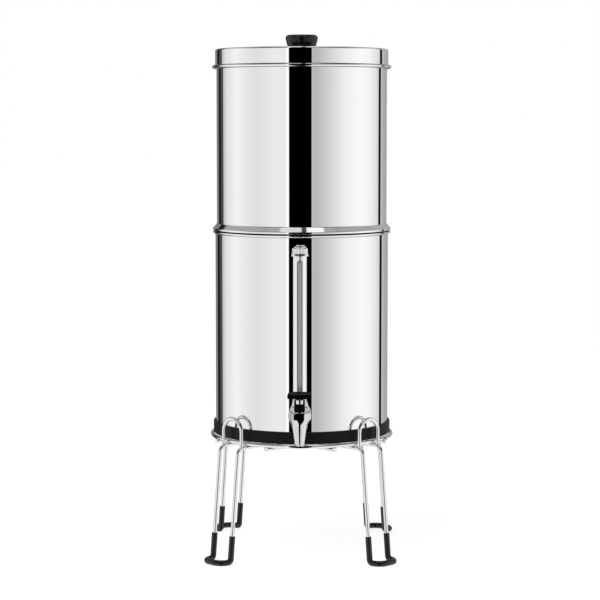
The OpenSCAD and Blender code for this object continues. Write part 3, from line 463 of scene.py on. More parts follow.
def upperProfile():
    # As the lower chamber's, with the stop pressed out of the wall: a step out, a lip and a cone back in
    wall, c = sheet["wall"], sheet["cornerR"]
    r, rIn = upper["r"], upper["r"] - wall
    s, out, top = upper["stopLow"], upper["stopOut"], upper["stopHigh"]
    cone = s + upper["lip"]
    hemZ = upper["high"] - upper["hemR"]
    hemFrom = -math.degrees(math.acos((r - upper["hemMid"]) / upper["hemR"]))
    hemTo = 360 - math.degrees(math.acos((rIn - upper["hemMid"]) / upper["hemR"]))
    hem = arc(upper["hemMid"], hemZ, upper["hemR"], hemFrom, hemTo, 24)
    outside = rounded(
        [(0, upper["low"]), (r, upper["low"]), (r, s), (out, s), (out, cone), (r, top), (r, hem[0][1] - 0.4)],
        [c, 0.5, 0.8, 1.4, 1.6], 6, 0.5)
    inside = rounded(
        [(rIn, hem[-1][1] - 0.4), (rIn, top), (out - wall, cone), (out - wall, s + wall), (rIn, s + wall),
         (rIn, upper["low"] + wall), (0, upper["low"] + wall)],
        [1.2, 0.8, 0.4, 0.3, c - wall], 6, 0.5)
    return np.concatenate([outside, hem, inside])


def lidProfile():
    # Skirt with a rolled bead, shoulder, and a dome whose height falls by rise * share^2, where share
    # runs from 0 at the knob's seat to 1 at the shoulder; then the same back along the inside
    wall, corner = sheet["wall"], lidSizes["corner"]
    rIn, rOut = lidSizes["inR"], lidSizes["inR"] + wall
    edge = rOut - corner
    mid, beadR, beadZ = lidSizes["beadMid"], lidSizes["beadR"], lidSizes["beadZ"]
    shoulder, seat = lidSizes["shoulder"], lidSizes["seatR"]
    outMeet = 180 - math.degrees(math.acos((mid - rOut) / beadR))
    bead = arc(mid, beadZ, beadR, -180, outMeet, 30)
    r = np.linspace(edge, seat, 24)[1:]
    dome = np.stack([r, shoulder + lidSizes["rise"] * (1 - ((r - seat) / (edge - seat)) ** 2)], 1)
    outCorner = arc(edge, shoulder - corner, corner, 0, 90, 8)
    inCorner = arc(edge, shoulder - corner, corner - wall, 90, 0, 8)
    top = shoulder + lidSizes["rise"]
    outWall = [[rOut, bead[-1][1] + 0.4], [rOut, shoulder - corner - 0.6]]
    inWall = [[rIn, shoulder - corner - 0.6], [rIn, beadZ + 0.5]]
    hole = [[lidSizes["holeR"], top], [lidSizes["holeR"], top - wall]]
    return np.concatenate([inWall[1:], bead, outWall, outCorner, dome, hole, dome[::-1] - [0, wall],
                           inCorner, inWall])


shells = {"lowerShell": (lowerProfile, "lower_vessel", "lower_chamber", "lowerSheet"),
          "upperShell": (upperProfile, "upper_vessel", "upper_chamber", "upperSheet"),
          "lidShell": (lidProfile, "cover", "lid", "lidSheet")}
for name, (profile, body, nodeName, finish) in shells.items():
    wear(piece(name, [lathe(profile(), steps=256)], body, [nodeName]), finish)

knobSizes = {"seat": 489.4, "high": 504.9, "footR": 17.5, "flareR": 19.5, "flareUp": 6.5, "topR": 20.75,
             "bevel": 2.7, "rim": 0.8, "dish": 0.8, "waist": 14.0}


def knobProfile():
    # Flared side with a wide waist curve and a bevel, and a dish of depth dish * (1 - (r / dishR)^2)
    k = knobSizes
    dishR = k["topR"] - k["bevel"] - k["rim"]
    r = np.linspace(dishR, 0, 16)
    dish = np.stack([r, k["high"] - k["dish"] * (1 - (r / dishR) ** 2)], 1)
    side = rounded(
        [(0, k["seat"]), (k["footR"], k["seat"]), (k["flareR"], k["seat"] + k["flareUp"]),
         (k["topR"], k["high"] - k["bevel"]), (k["topR"] - k["bevel"], k["high"]), (dishR, k["high"])],
        [0.5, k["waist"], 0.9, 1.2], 8, 0.4)
    return np.concatenate([side, dish[1:]])


wear(piece("knob", [lathe(knobProfile(), steps=160)], "cover", ["lid_knob"]), "knobPlastic")

ringSizes = {"r": 113.0, "inR": 110.05, "high": 14.8, "foot": 111.5, "ease": 1.0}


def ringProfile():
    # Upright band with eased outer edges, from the middle of its foot round and back to it
    s = ringSizes
    return rounded(
        [(s["foot"], 0), (s["r"], 0), (s["r"], s["high"]), (s["inR"], s["high"]), (s["inR"], 0),
         (s["foot"], 0)],
        [s["ease"], s["ease"], 0.2, 0.3], 6, 0.4)


wear(piece("baseRing", [lathe(ringProfile(), steps=256)], "lower_vessel", ["base_ring"]),
     "baseRubber")
print("chambers, lid, knob and ring made")

# Stand: lines of (out from the axis, sideways, up from the floor) for one corner, then turned to all four

wire = {"r": 2.5, "sides": 20, "cutEase": 0.5, "loopEase": 0.2}
stand = {"hoopR": 114.4, "hoopH": 149.075, "runH": 144.025, "legU": 125.4, "footU": 138.4, "toeU": 154.8,
         "barH": 3.4, "halfGap": 16.35, "hairpinU": 72.4, "hairpinV": 45.15, "endU": 106.75,
         "loopR": 119.45, "loopLow": 146.575, "loopHigh": 179.0}
bends = {"hairpin": 10.0, "leg": 9.5, "foot": 4.4, "toe": 12.0}
sleeve = {"r": 3.7, "bore": 2.56, "top": 35.5, "ease": 0.5}
corners = {"front_left": 225, "front_right": 315, "rear_left": 135, "rear_right": 45}


def turned(points, degrees):
    # Turn about the axis: (x cos a - y sin a, x sin a + y cos a, z)
    c, s = math.cos(math.radians(degrees)), math.sin(math.radians(degrees))
    return points @ np.array([[c, s, 0], [-s, c, 0], [0, 0, 1]])


def legPath():
    # One wire: its end and the hairpin under the chamber, down the leg and out along the foot, then the
    # same back again, mirrored sideways
    s, g = stand, stand["halfGap"]
    half = np.array([
        [s["endU"], s["hairpinV"], s["runH"]], [s["hairpinU"], s["hairpinV"], s["runH"]],
        [s["hairpinU"], g, s["runH"]], [s["legU"], g, s["runH"]], [s["footU"], g, s["barH"]],
        [s["toeU"], g, s["barH"]]])
    radii = [bends["hairpin"], bends["hairpin"], bends["leg"], bends["foot"], bends["toe"]]
    return rounded(np.concatenate([half, half[::-1] * [1, -1, 1]]), radii + radii[::-1], 10, 0.3)


def sleevePath():
    # The leg's own line from the sleeve's top down, where its share of the slope is
    # (top - foot height) / (run height - foot height)
    s, g = stand, stand["halfGap"]
    share = (sleeve["top"] - s["barH"]) / (s["runH"] - s["barH"])
    top = [s["footU"] + (s["legU"] - s["footU"]) * share, g, sleeve["top"]]
    half = np.array([top, [s["footU"], g, s["barH"]], [s["toeU"], g, s["barH"]]])
    radii = [bends["foot"], bends["toe"], bends["toe"], bends["foot"]]
    return rounded(np.concatenate([half, half[::-1] * [1, -1, 1]]), radii, 10, 0.3)


def loopPath():
    # Two posts joined by a half circle over the gap
    s, g = stand, stand["halfGap"]
    posts = np.array([[s["loopR"], g, s["loopLow"]], [s["loopR"], g, s["loopHigh"]],
                      [s["loopR"], -g, s["loopHigh"]], [s["loopR"], -g, s["loopLow"]]])
    return rounded(posts, [g - 0.1, g - 0.1], 12, 1.0)


def legGrid():
    # Round wire along the leg's path, with cut ends
    line, radii = cutEnds(legPath(), wire["r"], wire["cutEase"])
    return sweep(line, radii, (0, 0, 1), wire["sides"])


def loopGrid():
    # Round wire along the loop's path, with cut ends
    line, radii = cutEnds(loopPath(), wire["r"], wire["loopEase"])
    return sweep(line, radii, (1, 0, 0), wire["sides"])


def sleeveGrid():
    # Out along the outside and back along the bore, with an eased lip at each end, and flat on the floor
    path = sleevePath()
    outer, outerR = cutEnds(path, sleeve["r"], sleeve["ease"])
    outer, outerR = outer[1:-1], outerR[1:-1]
    there = sweep(outer, outerR, (1, 0, 0), wire["sides"])
    back = sweep(path, np.full(len(path), sleeve["bore"]), (1, 0, 0), wire["sides"])[::-1]
    grid = np.concatenate([there, back])
    grid[..., 2] = np.maximum(grid[..., 2], 0)
    return grid


# Each part of a corner: its points, the ending of its name, its slot and finish, and the ringed grids
cornerParts = {"leg": (legGrid(), "wire", "bright_wire", "brightWire", ()),
               "loop": (loopGrid(), "wire", "bright_wire", "brightWire", ()),
               "sleeve": (sleeveGrid(), "skin", "sleeve_vinyl", "sleeveVinyl", (0,))}
for corner, degrees in corners.items():
    for kind, (grid, ending, slotName, finish, ringed) in cornerParts.items():
        nodeName = kind + "_" + corner
        wear(piece(nodeName + "_" + ending, [turned(grid, degrees)], "stand", [nodeName],
                   onFloor=True, ringed=ringed), finish)

t = np.linspace(0, 2 * np.pi, 24, endpoint=False)
hoopRound = np.stack([stand["hoopR"] + wire["r"] * np.cos(t), stand["hoopH"] + wire["r"] * np.sin(t)], 1)
wear(piece("hoop_wire", [lathe(hoopRound, steps=256)], "stand", ["stand_hoop"],
           onFloor=True, ringed=(0,)), "brightWire")

# Half sizes of the weld beads where the leg, the loop and the hairpin's end meet the hoop
weldSizes = {"leg": (2.6, 2.6, 1.1), "loop": (2.9, 2.9, 0.9), "end": (2.2, 2.6, 1.0)}


def weldGrid(u, v, z, size):
    # Small weld bead: an ellipsoid p = c + (a cos p cos t, b cos p sin t, c sin p)
    p = np.radians(np.linspace(-90, 90, 9))[:, None]
    t = np.linspace(0, 2 * np.pi, 14, endpoint=False)
    return np.stack([u + size[0] * np.cos(p) * np.cos(t), v + size[1] * np.cos(p) * np.sin(t),
                     z + size[2] * np.sin(p) + 0 * t], 2)


welds = []
hoopUnder = (stand["hoopH"] + stand["runH"]) / 2
for degrees in corners.values():
    for v in (-stand["halfGap"], stand["halfGap"]):
        u = math.sqrt(stand["hoopR"] ** 2 - v ** 2)
        welds.append(turned(weldGrid(u, v, hoopUnder, weldSizes["leg"]), degrees))
        welds.append(turned(weldGrid(stand["loopR"], v, stand["loopLow"] - 0.3, weldSizes["loop"]), degrees))
    for v in (-stand["hairpinV"], stand["hairpinV"]):
        welds.append(turned(weldGrid(stand["endU"] - 1.4, v, hoopUnder, weldSizes["end"]), degrees))
wear(piece("weld_beads", welds, "stand", onFloor=True), "brightWire")
print("stand made")

# Tap and the boss of the gauge

tap = {"y": -150.0, "shankZ": 40.0, "tipZ": 6.0, "tipR": 5.8, "spoutR": 9.7, "spoutTop": 30.5, "bore": 4.6,
       "collarFoot": 38.0, "collarTop": 46.0, "collarR": 14.0, "chamberR": 8.6, "seatZ": 34.0,
       "shankR": 8.0, "shankEnd": -96.0, "barrelEnd": -139.5, "flangeR": 13.0, "flangeFrom": -112.5,
       "flangeTo": -115.5, "way": 4.5, "bevel": 2.4, "bevelH": 1.6}
collarFlats = {"sides": 6, "turnDeg": -94.0, "apothem": tap["collarR"] * math.cos(math.pi / 6), "sharp": 110}


def forwardLathe(profile, steps=96):
    # A turned surface laid along the tap's shank: (x, y, z) becomes (x, -z, y + shank height)
    grid = lathe(profile, steps=steps)
    return np.stack([grid[..., 0], -grid[..., 2], grid[..., 1] + tap["shankZ"]], 2)


def spoutGrid():
    # Outside from the tip up to the collar's top, then down the valve chamber and the outlet bore.
    # The collar is turned with a cone below and a chamfer above, and its six flats are cut in afterwards.
    c = tap
    bevelZ = c["collarTop"] - c["bevelH"]
    outside = rounded(
        [(c["bore"], c["tipZ"]), (c["tipR"], c["tipZ"]), (c["spoutR"], c["spoutTop"]),
         (c["collarR"], c["collarFoot"]), (c["collarR"], bevelZ), (c["collarR"] - c["bevel"], c["collarTop"]),
         (c["chamberR"], c["collarTop"])],
        [0.5, 1.5, 0.3, 0.3, 0.3], 5, 0.4)
    inCollar = (outside[:, 1] > c["spoutTop"] + 0.6) & (outside[:, 1] < c["collarTop"] - 0.05)
    first, last = np.flatnonzero(inCollar)[[0, -1]]
    # Close rows over the collar, at heights that step past its two corners, for the flats to show in
    z = np.concatenate([np.linspace(outside[first, 1], c["collarFoot"], 26),
                        np.linspace(c["collarFoot"] + 0.4, bevelZ - 0.1, 8),
                        np.linspace(bevelZ, outside[last, 1], 10)])
    dense = np.column_stack([np.interp(z, outside[first:last + 1, 1], outside[first:last + 1, 0]), z])
    inside = np.array([[c["chamberR"], c["seatZ"]], [c["bore"], c["seatZ"]], [c["bore"], c["tipZ"]]])
    profile = np.concatenate([outside[:first], dense, outside[last + 1:], inside])
    cut = (profile[:, 0] > c["spoutR"] - 0.5) & (profile[:, 1] > c["spoutTop"] - 1)
    return cutLathe(np.column_stack([profile, cut]), collarFlats, y=c["y"])


shankProfile = rounded(
    [(tap["way"], -tap["shankEnd"]), (tap["shankR"], -tap["shankEnd"]), (tap["shankR"], -tap["barrelEnd"]),
     (tap["way"], -tap["barrelEnd"]), (tap["way"], -tap["shankEnd"])], [0.6, 0.4, 0], 4, 0.4)
flangeProfile = rounded(
    [(tap["shankR"], -tap["flangeFrom"]), (tap["flangeR"], -tap["flangeFrom"]),
     (tap["flangeR"], -tap["flangeTo"]), (tap["shankR"], -tap["flangeTo"])], [0.3, 0.8], 5, 0.3)
gauge = {"y": -128.0, "bossR": 9.0, "bossLow": 40.0, "bossTop": 49.0, "glassR": 5.0, "glassBore": 3.5,
         "glassLow": 45.0, "glassTop": 242.4, "shieldR": 8.15, "shieldT": 1.2, "shieldLow": 51.05,
         "shieldTop": 235.4, "slotW": 6.6, "slotLow": 58.0, "slotTop": 228.9, "capLow": 233.4, "nutZ": 236.8,
         "plateZ": 243.4, "plateR": 6.7, "top": 245.0, "flareR": 10.4, "nutR": 9.45, "sealTop": 237.85,
         "sealR": 7.5, "play": 0.05}
bossProfile = rounded(
    [(0, gauge["bossLow"]), (gauge["bossR"], gauge["bossLow"]), (gauge["bossR"], gauge["bossTop"]),
     (0, gauge["bossTop"])], [0.3, 0.6], 5, 0.3)
wear(piece("tapBody", [spoutGrid(), forwardLathe(shankProfile), forwardLathe(flangeProfile),
                       lathe(bossProfile, y=gauge["y"], steps=96)],
           "lower_vessel", ["tap_body"], sharpDeg=30), "tapPlating")

lever = {"half": 14.5, "backHalf": 13.3, "front": 24.0, "back": 5.5, "backRound": 2.0, "cornerR": 3.0,
         "low": 65.0, "high": 70.2, "ease": 0.6, "pinZ": 64.5, "heel": 5.0, "heelR": 3.2, "cheekFrom": 2.45,
         "cheekTo": 3.95, "ribHalf": 2.0, "ribFrom": -6.2, "ribTo": -4.8, "ribLow": 62.3}


def leverOutline():
    # Plan of the lever from above: four corner circles joined by straight sides
    s, c, b = lever, lever["cornerR"], lever["backRound"]
    backX, backY = s["backHalf"] - b, s["back"] - b
    frontX, frontY = s["half"] - c, c - s["front"]
    return np.concatenate([arc(backX, backY, b, 0, 90, 6), arc(-backX, backY, b, 90, 180, 6),
                           arc(-frontX, frontY, c, 180, 270, 8), arc(frontX, frontY, c, 270, 360, 8)])


def cheekGrid(fromX, toX):
    # Upright plate with a half circle at each end, worked out as a slab of (y, z) and stood across x
    s = lever
    side = np.concatenate([arc(0, 0, s["heelR"], -90, 90, 12), arc(-s["heel"], 0, s["heelR"], 90, 270, 12)])
    plate = slab(side, fromX, toX, 0.4)
    return np.stack([plate[..., 2], tap["y"] + plate[..., 0], s["pinZ"] + plate[..., 1]], 2)


leverPlate = slab(leverOutline(), lever["low"], lever["high"], lever["ease"]) + [0, tap["y"], 0]
ribPlan = np.array([[1, lever["ribFrom"]], [1, lever["ribTo"]], [-1, lever["ribTo"]], [-1, lever["ribFrom"]]])
leverRib = slab(ribPlan * [lever["ribHalf"], 1], lever["ribLow"], lever["low"] + 0.5, 0.15) + [0, tap["y"], 0]
wear(piece("leverPlate", [leverPlate, leverRib, cheekGrid(lever["cheekFrom"], lever["cheekTo"]),
                          cheekGrid(-lever["cheekTo"], -lever["cheekFrom"])],
           "lever", ["tap_lever"]), "leverPlastic")
print("tap made")

# Sight gauge

gland = {"footR": 9.6, "wideR": 10.4, "wideUp": 1.0, "seatR": 9.8, "seatUp": 2.0, "neckR": 9.05,
         "neckUp": 6.0, "topR": 8.85, "topUp": 7.0}


def glandProfile():
    # Nut with a wide foot and a neck, bored for the glass below and for the shield above
    g, n, low = gauge, gland, gauge["bossTop"]
    glassR, shieldR = g["glassR"] + g["play"], g["shieldR"] + g["play"]
    seat, top = low + n["seatUp"], low + n["topUp"]
    return rounded(
        [(glassR, low), (n["footR"], low), (n["wideR"], low + n["wideUp"]), (n["seatR"], seat),
         (n["neckR"], low + n["neckUp"]), (n["topR"], top), (shieldR, top), (shieldR, seat), (glassR, seat),
         (glassR, low)], [0.2, 0.5, 0.5, 1.0, 0.3, 0.1, 0.1, 0.1], 4, 0.3)


wear(piece("gaugeGland", [lathe(glandProfile(), y=gauge["y"], steps=128)], "lower_vessel",
           ["gauge_gland"]), "tapPlating")

glassProfile = rounded(
    [(gauge["glassBore"], gauge["glassLow"]), (gauge["glassR"], gauge["glassLow"]),
     (gauge["glassR"], gauge["glassTop"]), (gauge["glassBore"], gauge["glassTop"]),
     (gauge["glassBore"], gauge["glassLow"])], [0.3, 0.3, 0.3], 4, 0.3)
wear(piece("gaugeTube", [lathe(glassProfile, y=gauge["y"], steps=96)], "lower_vessel",
           ["gauge_glass"]), "sightGlass")


def shieldGrid():
    # Slotted tube: the half angle of the slot at height z is asin(w(z) / R), w(z) = half width of the slot,
    # closing as a half circle at its top. A row goes round the outside and back round the inside.
    g = gauge
    half = g["slotW"] / 2
    capZ = g["slotTop"] - half
    close = capZ + half * np.sin(np.radians(np.linspace(0, 90, 12)))
    z = np.concatenate([[g["shieldLow"], g["slotLow"]], np.linspace(g["slotLow"], capZ, 9), close[1:],
                        [g["slotTop"], g["shieldTop"]]])
    w = np.sqrt(np.clip(half ** 2 - np.clip(z - capZ, 0, None) ** 2, 0, None))
    w[:2] = 0
    w[-2:] = 0
    u = np.linspace(0, 1, 97)
    spread = 0.35 * (0.5 - 0.5 * np.cos(np.pi * u)) + 0.65 * u  # columns stand closer beside the slot
    rows = []
    for r in (g["shieldR"], g["shieldR"] - g["shieldT"]):
        gap = np.arcsin(w / r)[:, None]
        a = -np.pi / 2 + gap + (2 * np.pi - 2 * gap) * spread
        rows.append(np.stack([r * np.cos(a), g["y"] + r * np.sin(a), z[:, None] + 0 * a], 2))
    outside, inside = rows
    ring = np.concatenate([outside, inside[:, ::-1]], 1)
    # The flat end faces close on the tube's middle line, halfway between the outside and the inside
    low, high = (ring[0] + ring[0, ::-1]) / 2, (ring[-1] + ring[-1, ::-1]) / 2
    return np.concatenate([low[None], ring, high[None]])


wear(piece("gaugeShield", [shieldGrid()], "lower_vessel", ["gauge_shield"]), "shieldSteel")

capFlats = {"sides": 8, "turnDeg": 22.5, "apothem": gauge["nutR"] * math.cos(math.pi / 8), "sharp": 110}


def capGrid():
    # The skirt is round and the nut above it eight-sided, with a corner to the front
    g = gauge
    glassR, shieldR = g["glassR"] + g["play"], g["shieldR"] + g["play"]
    outside = rounded(
        [(shieldR, g["capLow"]), (g["flareR"], g["capLow"]), (g["flareR"], g["capLow"] + 0.8),
         (g["nutR"] + 0.2, g["nutZ"] - 0.1), (g["nutR"], g["nutZ"] + 0.15), (g["nutR"], g["plateZ"] - 0.7),
         (g["nutR"] - 1.2, g["plateZ"]), (g["plateR"], g["plateZ"]), (g["plateR"], g["top"]), (0, g["top"])],
        [0.3, 0.4, 0.1, 0.1, 0.3, 0.3, 0.1, 0.5], 5, 0.3)
    inside = np.array([[0, g["glassTop"]], [glassR, g["glassTop"]], [glassR, g["sealTop"] - g["play"]],
                       [g["sealR"], g["sealTop"] - g["play"]], [g["sealR"], g["shieldTop"]],
                       [shieldR, g["shieldTop"]], [shieldR, g["capLow"] - g["play"]]]) + [0, g["play"]]
    profile = np.concatenate([outside, inside])
    cut = (profile[:, 0] > g["sealR"] + 0.1) & (profile[:, 1] > g["nutZ"] + 0.05)
    return cutLathe(np.column_stack([profile, cut]), capFlats, y=g["y"])


wear(piece("gaugeCap", [capGrid()], "lower_vessel", ["gauge_cap"], sharpDeg=30), "tapPlating")
print("gauge made")

# Filter elements: a ribbed block between a moulded base with its outlet stem and a moulded cap

filters = {"pitch": 90.0, "low": 239.6, "high": 464.6, "base": 12.0, "cap": 8.0, "rimR": 35.0, "coreR": 12.0,
           "stemR": 6.0, "stemLow": 208.3, "boreR": 3.0, "wallIn": 1.5, "cup": 4.0, "play": 0.05,
           "ribPitch": 3.2, "ribDepth": 0.4, "threadPitch": 1.75, "threadDepth": 0.7}
block = {"r": filters["rimR"] - filters["wallIn"], "low": filters["low"] + filters["base"] - filters["cup"],
         "high": filters["high"] - filters["cap"] + filters["cup"]}


def wave(z, pitch, depth):
    # What a thread or a rib takes off the radius: depth * (1 - cos(2 pi z / pitch)) / 2
    return depth * (0.5 - 0.5 * np.cos(2 * np.pi * z / pitch))


def blockProfile():
    # Tube of carbon with ribs of radius r - wave(z)
    f, b = filters, block
    z = np.linspace(b["low"] + 1, b["high"] - 1, 260)
    ribs = np.stack([b["r"] - wave(z - b["low"], f["ribPitch"], f["ribDepth"]), z], 1)
    return np.concatenate([[[f["coreR"], b["low"]], [b["r"] - 0.5, b["low"]]], ribs,
                           [[b["r"] - 0.5, b["high"]], [f["coreR"], b["high"]], [f["coreR"], b["low"]]]])


def baseProfile():
    # Up the threaded stem, of radius r - wave(z), round the cup that holds the block, and down the bore
    f, cupR, cupZ = filters, block["r"] + filters["play"], block["low"] - filters["play"]
    lipZ = f["low"] + f["base"]
    z = np.linspace(f["stemLow"] + 1, f["low"] - 4, 140)
    thread = np.stack([f["stemR"] - wave(z, f["threadPitch"], f["threadDepth"]), z], 1)
    head = rounded(
        [(f["stemR"], f["low"] - 3.5), (f["stemR"], f["low"]), (f["rimR"] - 6, f["low"]),
         (f["rimR"], f["low"] + 4), (f["rimR"], lipZ), (cupR, lipZ), (cupR, cupZ), (f["boreR"], cupZ),
         (f["boreR"], f["stemLow"])], [0.3, 2, 2, 0.5, 0.3, 0.2, 0.2], 5, 0.4)
    return np.concatenate([[[f["boreR"], f["stemLow"]], [f["stemR"] - 1, f["stemLow"]]], thread, head])


def topProfile():
    # Shallow cap over the block, with a raised rim
    f, cupR, cupZ = filters, block["r"] + filters["play"], block["high"] + filters["play"]
    lipZ = f["high"] - f["cap"]
    return rounded(
        [(0, cupZ), (cupR, cupZ), (cupR, lipZ), (f["rimR"], lipZ), (f["rimR"], f["high"]),
         (f["rimR"] - 6, f["high"]), (f["rimR"] - 8, f["high"] - 1), (0, f["high"] - 1)],
        [0.2, 0.2, 0.4, 2.0, 1.0, 1.0], 5, 0.4)


filterParts = {"filterBlock": (blockProfile(), "carbon_block", "filter_element", "carbonBlock"),
               "filterBase": (baseProfile(), "filter_plastic", "filter_base", "filterPlastic"),
               "filterTop": (topProfile(), "filter_plastic", "filter_top", "filterPlastic")}
for side, sign in (("left", -1), ("right", 1)):
    for name, (profile, slotName, nodeName, finish) in filterParts.items():
        grid = lathe(profile, x=sign * filters["pitch"] / 2, steps=96)
        wear(piece(name + "_" + side, [grid], "upper_vessel", [nodeName + "_" + side]), finish)
print("filter elements made")

# CAD parts that show as they are, with their finishes

carried = {
    "tap_spring": "plainSteel", "shank_nut": "tapPlating", "shank_washer_outer": "sealRubber",
    "shank_washer_inner": "sealRubber", "gauge_seals": "sealRubber", "tap_stem": "plainSteel",
    "seat_cup": "seatSilicone", "lever_pin": "plainSteel", "filter_washers": "sealRubber",
    "wing_nuts": "nutPlastic", "knob_screw": "plainSteel", "knob_washer": "plainSteel",
    "base_pad": "baseRubber", "tap_bonnet": "tapPlating", "bonnet_guide": "guidePlastic",
    "heel_plate": "shieldSteel"}
for name, finish in carried.items():
    wear(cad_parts[name], finish)

# Studio: camera, floor, room and lamp

cameraPlace = {"x": -0.00217, "back": 2.50118, "height": 0.397165, "pitchDeg": 5.2253, "turnDeg": 1.0,
               "focalPx": 1962.07, "framePx": 600, "sensor": 36.0}


def placeCamera():
    # The camera stands a little to the right of the tap's own direction: (x, -back, height) is turned
    # about the chambers' axis, and the view is pitched down
    c = cameraPlace
    data = bpy.data.cameras.new("camera")
    data.sensor_width = c["sensor"]
    data.lens = c["sensor"] * c["focalPx"] / c["framePx"]
    camera = bpy.data.objects.new("camera", data)
    turn = math.radians(c["turnDeg"])
    camera.location = (c["x"] * math.cos(turn) + c["back"] * math.sin(turn),
                       axisY + c["x"] * math.sin(turn) - c["back"] * math.cos(turn), ringLow + c["height"])
    camera.rotation_euler = (math.radians(90 - c["pitchDeg"]), 0, turn)
    bpy.context.scene.collection.objects.link(camera)
    bpy.context.scene.camera = camera


floorLook = {"half": 20, "glow": 0.78, "paint": 0.32}


def floorPaint():
    # Matt paint that takes the object's shadow, with a glow that only the camera and glass see
    made = bpy.data.materials.new("floorPaint")
    made.use_nodes = True
    tree = made.node_tree
    tree.nodes.remove(tree.nodes["Principled BSDF"])
    paint = node(tree, "BsdfDiffuse", Color=(floorLook["paint"],) * 3 + (1,))
    glow = node(tree, "Emission", Strength=floorLook["glow"])
    rays = node(tree, "LightPath")
    dark = node(tree, "Emission", Strength=0.0)
    both = node(tree, "AddShader")
    link = tree.links.new
    seenBy = math2(tree, "MAXIMUM", rays.outputs["Is Camera Ray"], rays.outputs["Is Transmission Ray"])
    link(paint.outputs[0], both.inputs[0])
    link(mixOf(tree, "MixShader", seenBy, dark.outputs[0], glow.outputs[0]), both.inputs[1])
    link(both.outputs[0], tree.nodes["Material Output"].inputs["Surface"])
    return made


def layFloor():
    # One square on height 0
    half = floorLook["half"]
    mesh = bpy.data.meshes.new("floor")
    square = [(-half, -half, 0), (half, -half, 0), (half, half, 0), (-half, half, 0)]
    mesh.from_pydata(square, [], [(0, 1, 2, 3)])
    mesh.materials.append(floorPaint())
    floor = bpy.data.objects.new("floor", mesh)
    bpy.context.scene.collection.objects.link(floor)
    floor.visible_glossy = False


# The studio's walls as a function of direction: azimuth 0 is towards the camera and grows to the right
wallLevels = [(-180, 0.30), (-158, 0.20), (-131, 0.52), (-122, 0.78), (-98, 0.96), (-84, 0.88),
              (-62, 0.79), (-34, 0.89), (-18, 0.87), (18, 0.50), (30, 0.62), (45, 0.77), (60, 0.92),
              (85, 1.02), (100, 0.98), (116, 0.84), (130, 0.62), (146, 0.42), (180, 0.36)]
# Panels: middle, half width, softness, level and top, in degrees but for the level
panels = {"whiteEdge": (-18.6, 1.7, 0.8, 1.12, 52.0), "front": (-1.95, 15.05, 0.8, 0.0, 52.0),
          "rearLeft": (-146.5, 6.0, 2.0, 0.012, 30.0), "rearLeftPale": (-136.4, 4.2, 1.0, 0.07, 30.0),
          "rearRight": (130.4, 3.7, 1.0, 0.008, 30.0)}
studio = {"ceiling": 0.39, "ceilingFrom": 16.0, "ceilingTo": 36.0, "floorLevel": 0.92, "floorFrom": -14.0,
          "floorTo": -40.0, "panelFade": 6.0, "diffuse": 0.72}
# Dark band above the camera's side of the room: it draws the lines on the lid, the beads and the wires
darkBand = {"level": 0.07, "low": 17.0, "high": 56.0, "soft": 10.0, "side": 86.0, "sideSoft": 8.0}
# Softboxes overhead: middle, half width and softness as x / z, depth as y / z, and level
softboxes = {"left": (-0.15, 0.155, 0.05, 0.6, 0.74), "right": (0.195, 0.125, 0.05, 0.6, 1.02),
             "frame": (0.038, 0.034, 0.03, 0.6, 0.06)}


def smoothStep(tree, value, low, high):
    # 0 at low and 1 at high, and 3 t^2 - 2 t^3 between, t being the share of the way
    made = node(tree, "MapRange", interpolation_type="SMOOTHSTEP")
    made.inputs["From Min"].default_value = low
    made.inputs["From Max"].default_value = high
    tree.links.new(value, made.inputs["Value"])
    return made.outputs[0]


def blendTo(tree, level, target, mask):
    # level + (target - level) * mask
    change = math2(tree, "MULTIPLY", math2(tree, "SUBTRACT", target, level), mask)
    return math2(tree, "ADD", level, change)


def stripe(tree, value, middle, half, soft):
    # 1 within half of the middle, falling to 0 over a width of soft
    away = math2(tree, "ABSOLUTE", math2(tree, "SUBTRACT", value, middle), 0.0)
    return smoothStep(tree, away, half + soft / 2, half - soft / 2)


def wallTone(tree, azimuth):
    # The walls' level all round, straight between the angles given
    walls = node(tree, "ValToRGB")
    stops = walls.color_ramp.elements
    stops[0].position, stops[-1].position = 0.0, 1.0
    for angle, _ in wallLevels[1:-1]:
        stops.new((angle + 180) / 360)
    for stop, (_, level) in zip(stops, wallLevels):
        stop.color = (level, level, level, 1)
    walls.color_ramp.interpolation = "LINEAR"
    share = math2(tree, "DIVIDE", math2(tree, "ADD", azimuth, 180.0), 360.0)
    tree.links.new(share, walls.inputs["Fac"])
    return walls.outputs["Color"]


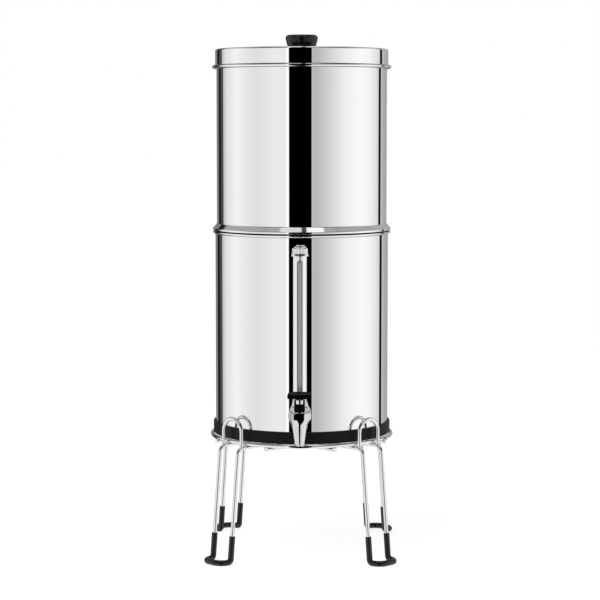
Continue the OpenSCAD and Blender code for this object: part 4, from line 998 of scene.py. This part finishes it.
def roomTone(tree):
    # Level of the room in each direction: walls, ceiling, dark band, floor, panels and softboxes in turn,
    # each blended over what is there before it
    direction = node(tree, "TexCoord")
    parts = node(tree, "SeparateXYZ")
    tree.links.new(direction.outputs["Generated"], parts.inputs[0])
    xDir, yDir, zDir = parts.outputs
    degree = 180 / math.pi
    around = math2(tree, "ARCTAN2", xDir, math2(tree, "MULTIPLY", yDir, -1.0))
    azimuth = math2(tree, "SUBTRACT", math2(tree, "MULTIPLY", around, degree), cameraPlace["turnDeg"])
    elevation = math2(tree, "MULTIPLY", math2(tree, "ARCSINE", zDir, 0.0), degree)
    level = wallTone(tree, azimuth)
    ceiling = smoothStep(tree, elevation, studio["ceilingFrom"], studio["ceilingTo"])
    level = blendTo(tree, level, studio["ceiling"], ceiling)
    b = darkBand
    band = math2(tree, "MULTIPLY", smoothStep(tree, elevation, b["low"], b["low"] + b["soft"]),
                 smoothStep(tree, elevation, b["high"] + b["soft"], b["high"]))
    band = math2(tree, "MULTIPLY", band, stripe(tree, azimuth, 0.0, b["side"], 2 * b["sideSoft"]))
    level = blendTo(tree, level, b["level"], band)
    below = smoothStep(tree, elevation, studio["floorFrom"], studio["floorTo"])
    level = blendTo(tree, level, studio["floorLevel"], below)
    for middle, half, soft, shade, top in panels.values():
        mask = math2(tree, "MULTIPLY", stripe(tree, azimuth, middle, half, soft),
                     smoothStep(tree, elevation, top, top - studio["panelFade"]))
        level = blendTo(tree, level, shade, mask)
    safeZ = math2(tree, "MAXIMUM", zDir, 0.01)
    overX = math2(tree, "DIVIDE", xDir, safeZ)
    overY = math2(tree, "DIVIDE", yDir, safeZ)
    for middle, half, soft, depth, shade in softboxes.values():
        mask = math2(tree, "MULTIPLY", stripe(tree, overX, middle, half, soft),
                     stripe(tree, overY, 0.0, depth, 0.1))
        level = blendTo(tree, level, shade, mask)
    return level


def lightRoom():
    # Mirrors see the room's tones, matt surfaces an even level, and the camera and glass plain white
    world = bpy.data.worlds.new("studio")
    bpy.context.scene.world = world
    world.use_nodes = True
    tree = world.node_tree
    tree.nodes.clear()
    white = (1, 1, 1, 1)
    seen = node(tree, "Background", Color=white)
    mirror = node(tree, "Background")
    soft = node(tree, "Background", Color=white, Strength=studio["diffuse"])
    tree.links.new(roomTone(tree), mirror.inputs["Color"])
    rays = node(tree, "LightPath")
    plain = math2(tree, "MAXIMUM", rays.outputs["Is Camera Ray"], rays.outputs["Is Transmission Ray"])
    lit = mixOf(tree, "MixShader", rays.outputs["Is Glossy Ray"], soft.outputs[0], mirror.outputs[0])
    shown = mixOf(tree, "MixShader", plain, lit, seen.outputs[0])
    tree.links.new(shown, node(tree, "OutputWorld").inputs["Surface"])


lamp = {"power": 26.0, "size": 1.6, "place": (-1.3, -1.5, 2.3), "aim": (0.0, 0.0, 0.3)}


def hangLamp():
    # A square softbox at the upper left, turned to face what it aims at, and unseen in mirrors
    data = bpy.data.lights.new("keySoftbox", "AREA")
    data.energy = lamp["power"]
    data.size = lamp["size"]
    data.shape = "SQUARE"
    key = bpy.data.objects.new("keySoftbox", data)
    key.location = lamp["place"]
    aim = np.array(lamp["aim"]) - np.array(lamp["place"])
    heading = math.atan2(aim[1], aim[0]) - math.pi / 2
    tilt = math.atan2(math.hypot(aim[0], aim[1]), -aim[2])
    key.rotation_euler = (tilt, 0, heading)
    key.visible_glossy = False
    bpy.context.scene.collection.objects.link(key)


placeCamera()
layFloor()
lightRoom()
hangLamp()
bpy.context.scene.view_settings.view_transform = "Standard"
print("studio made")
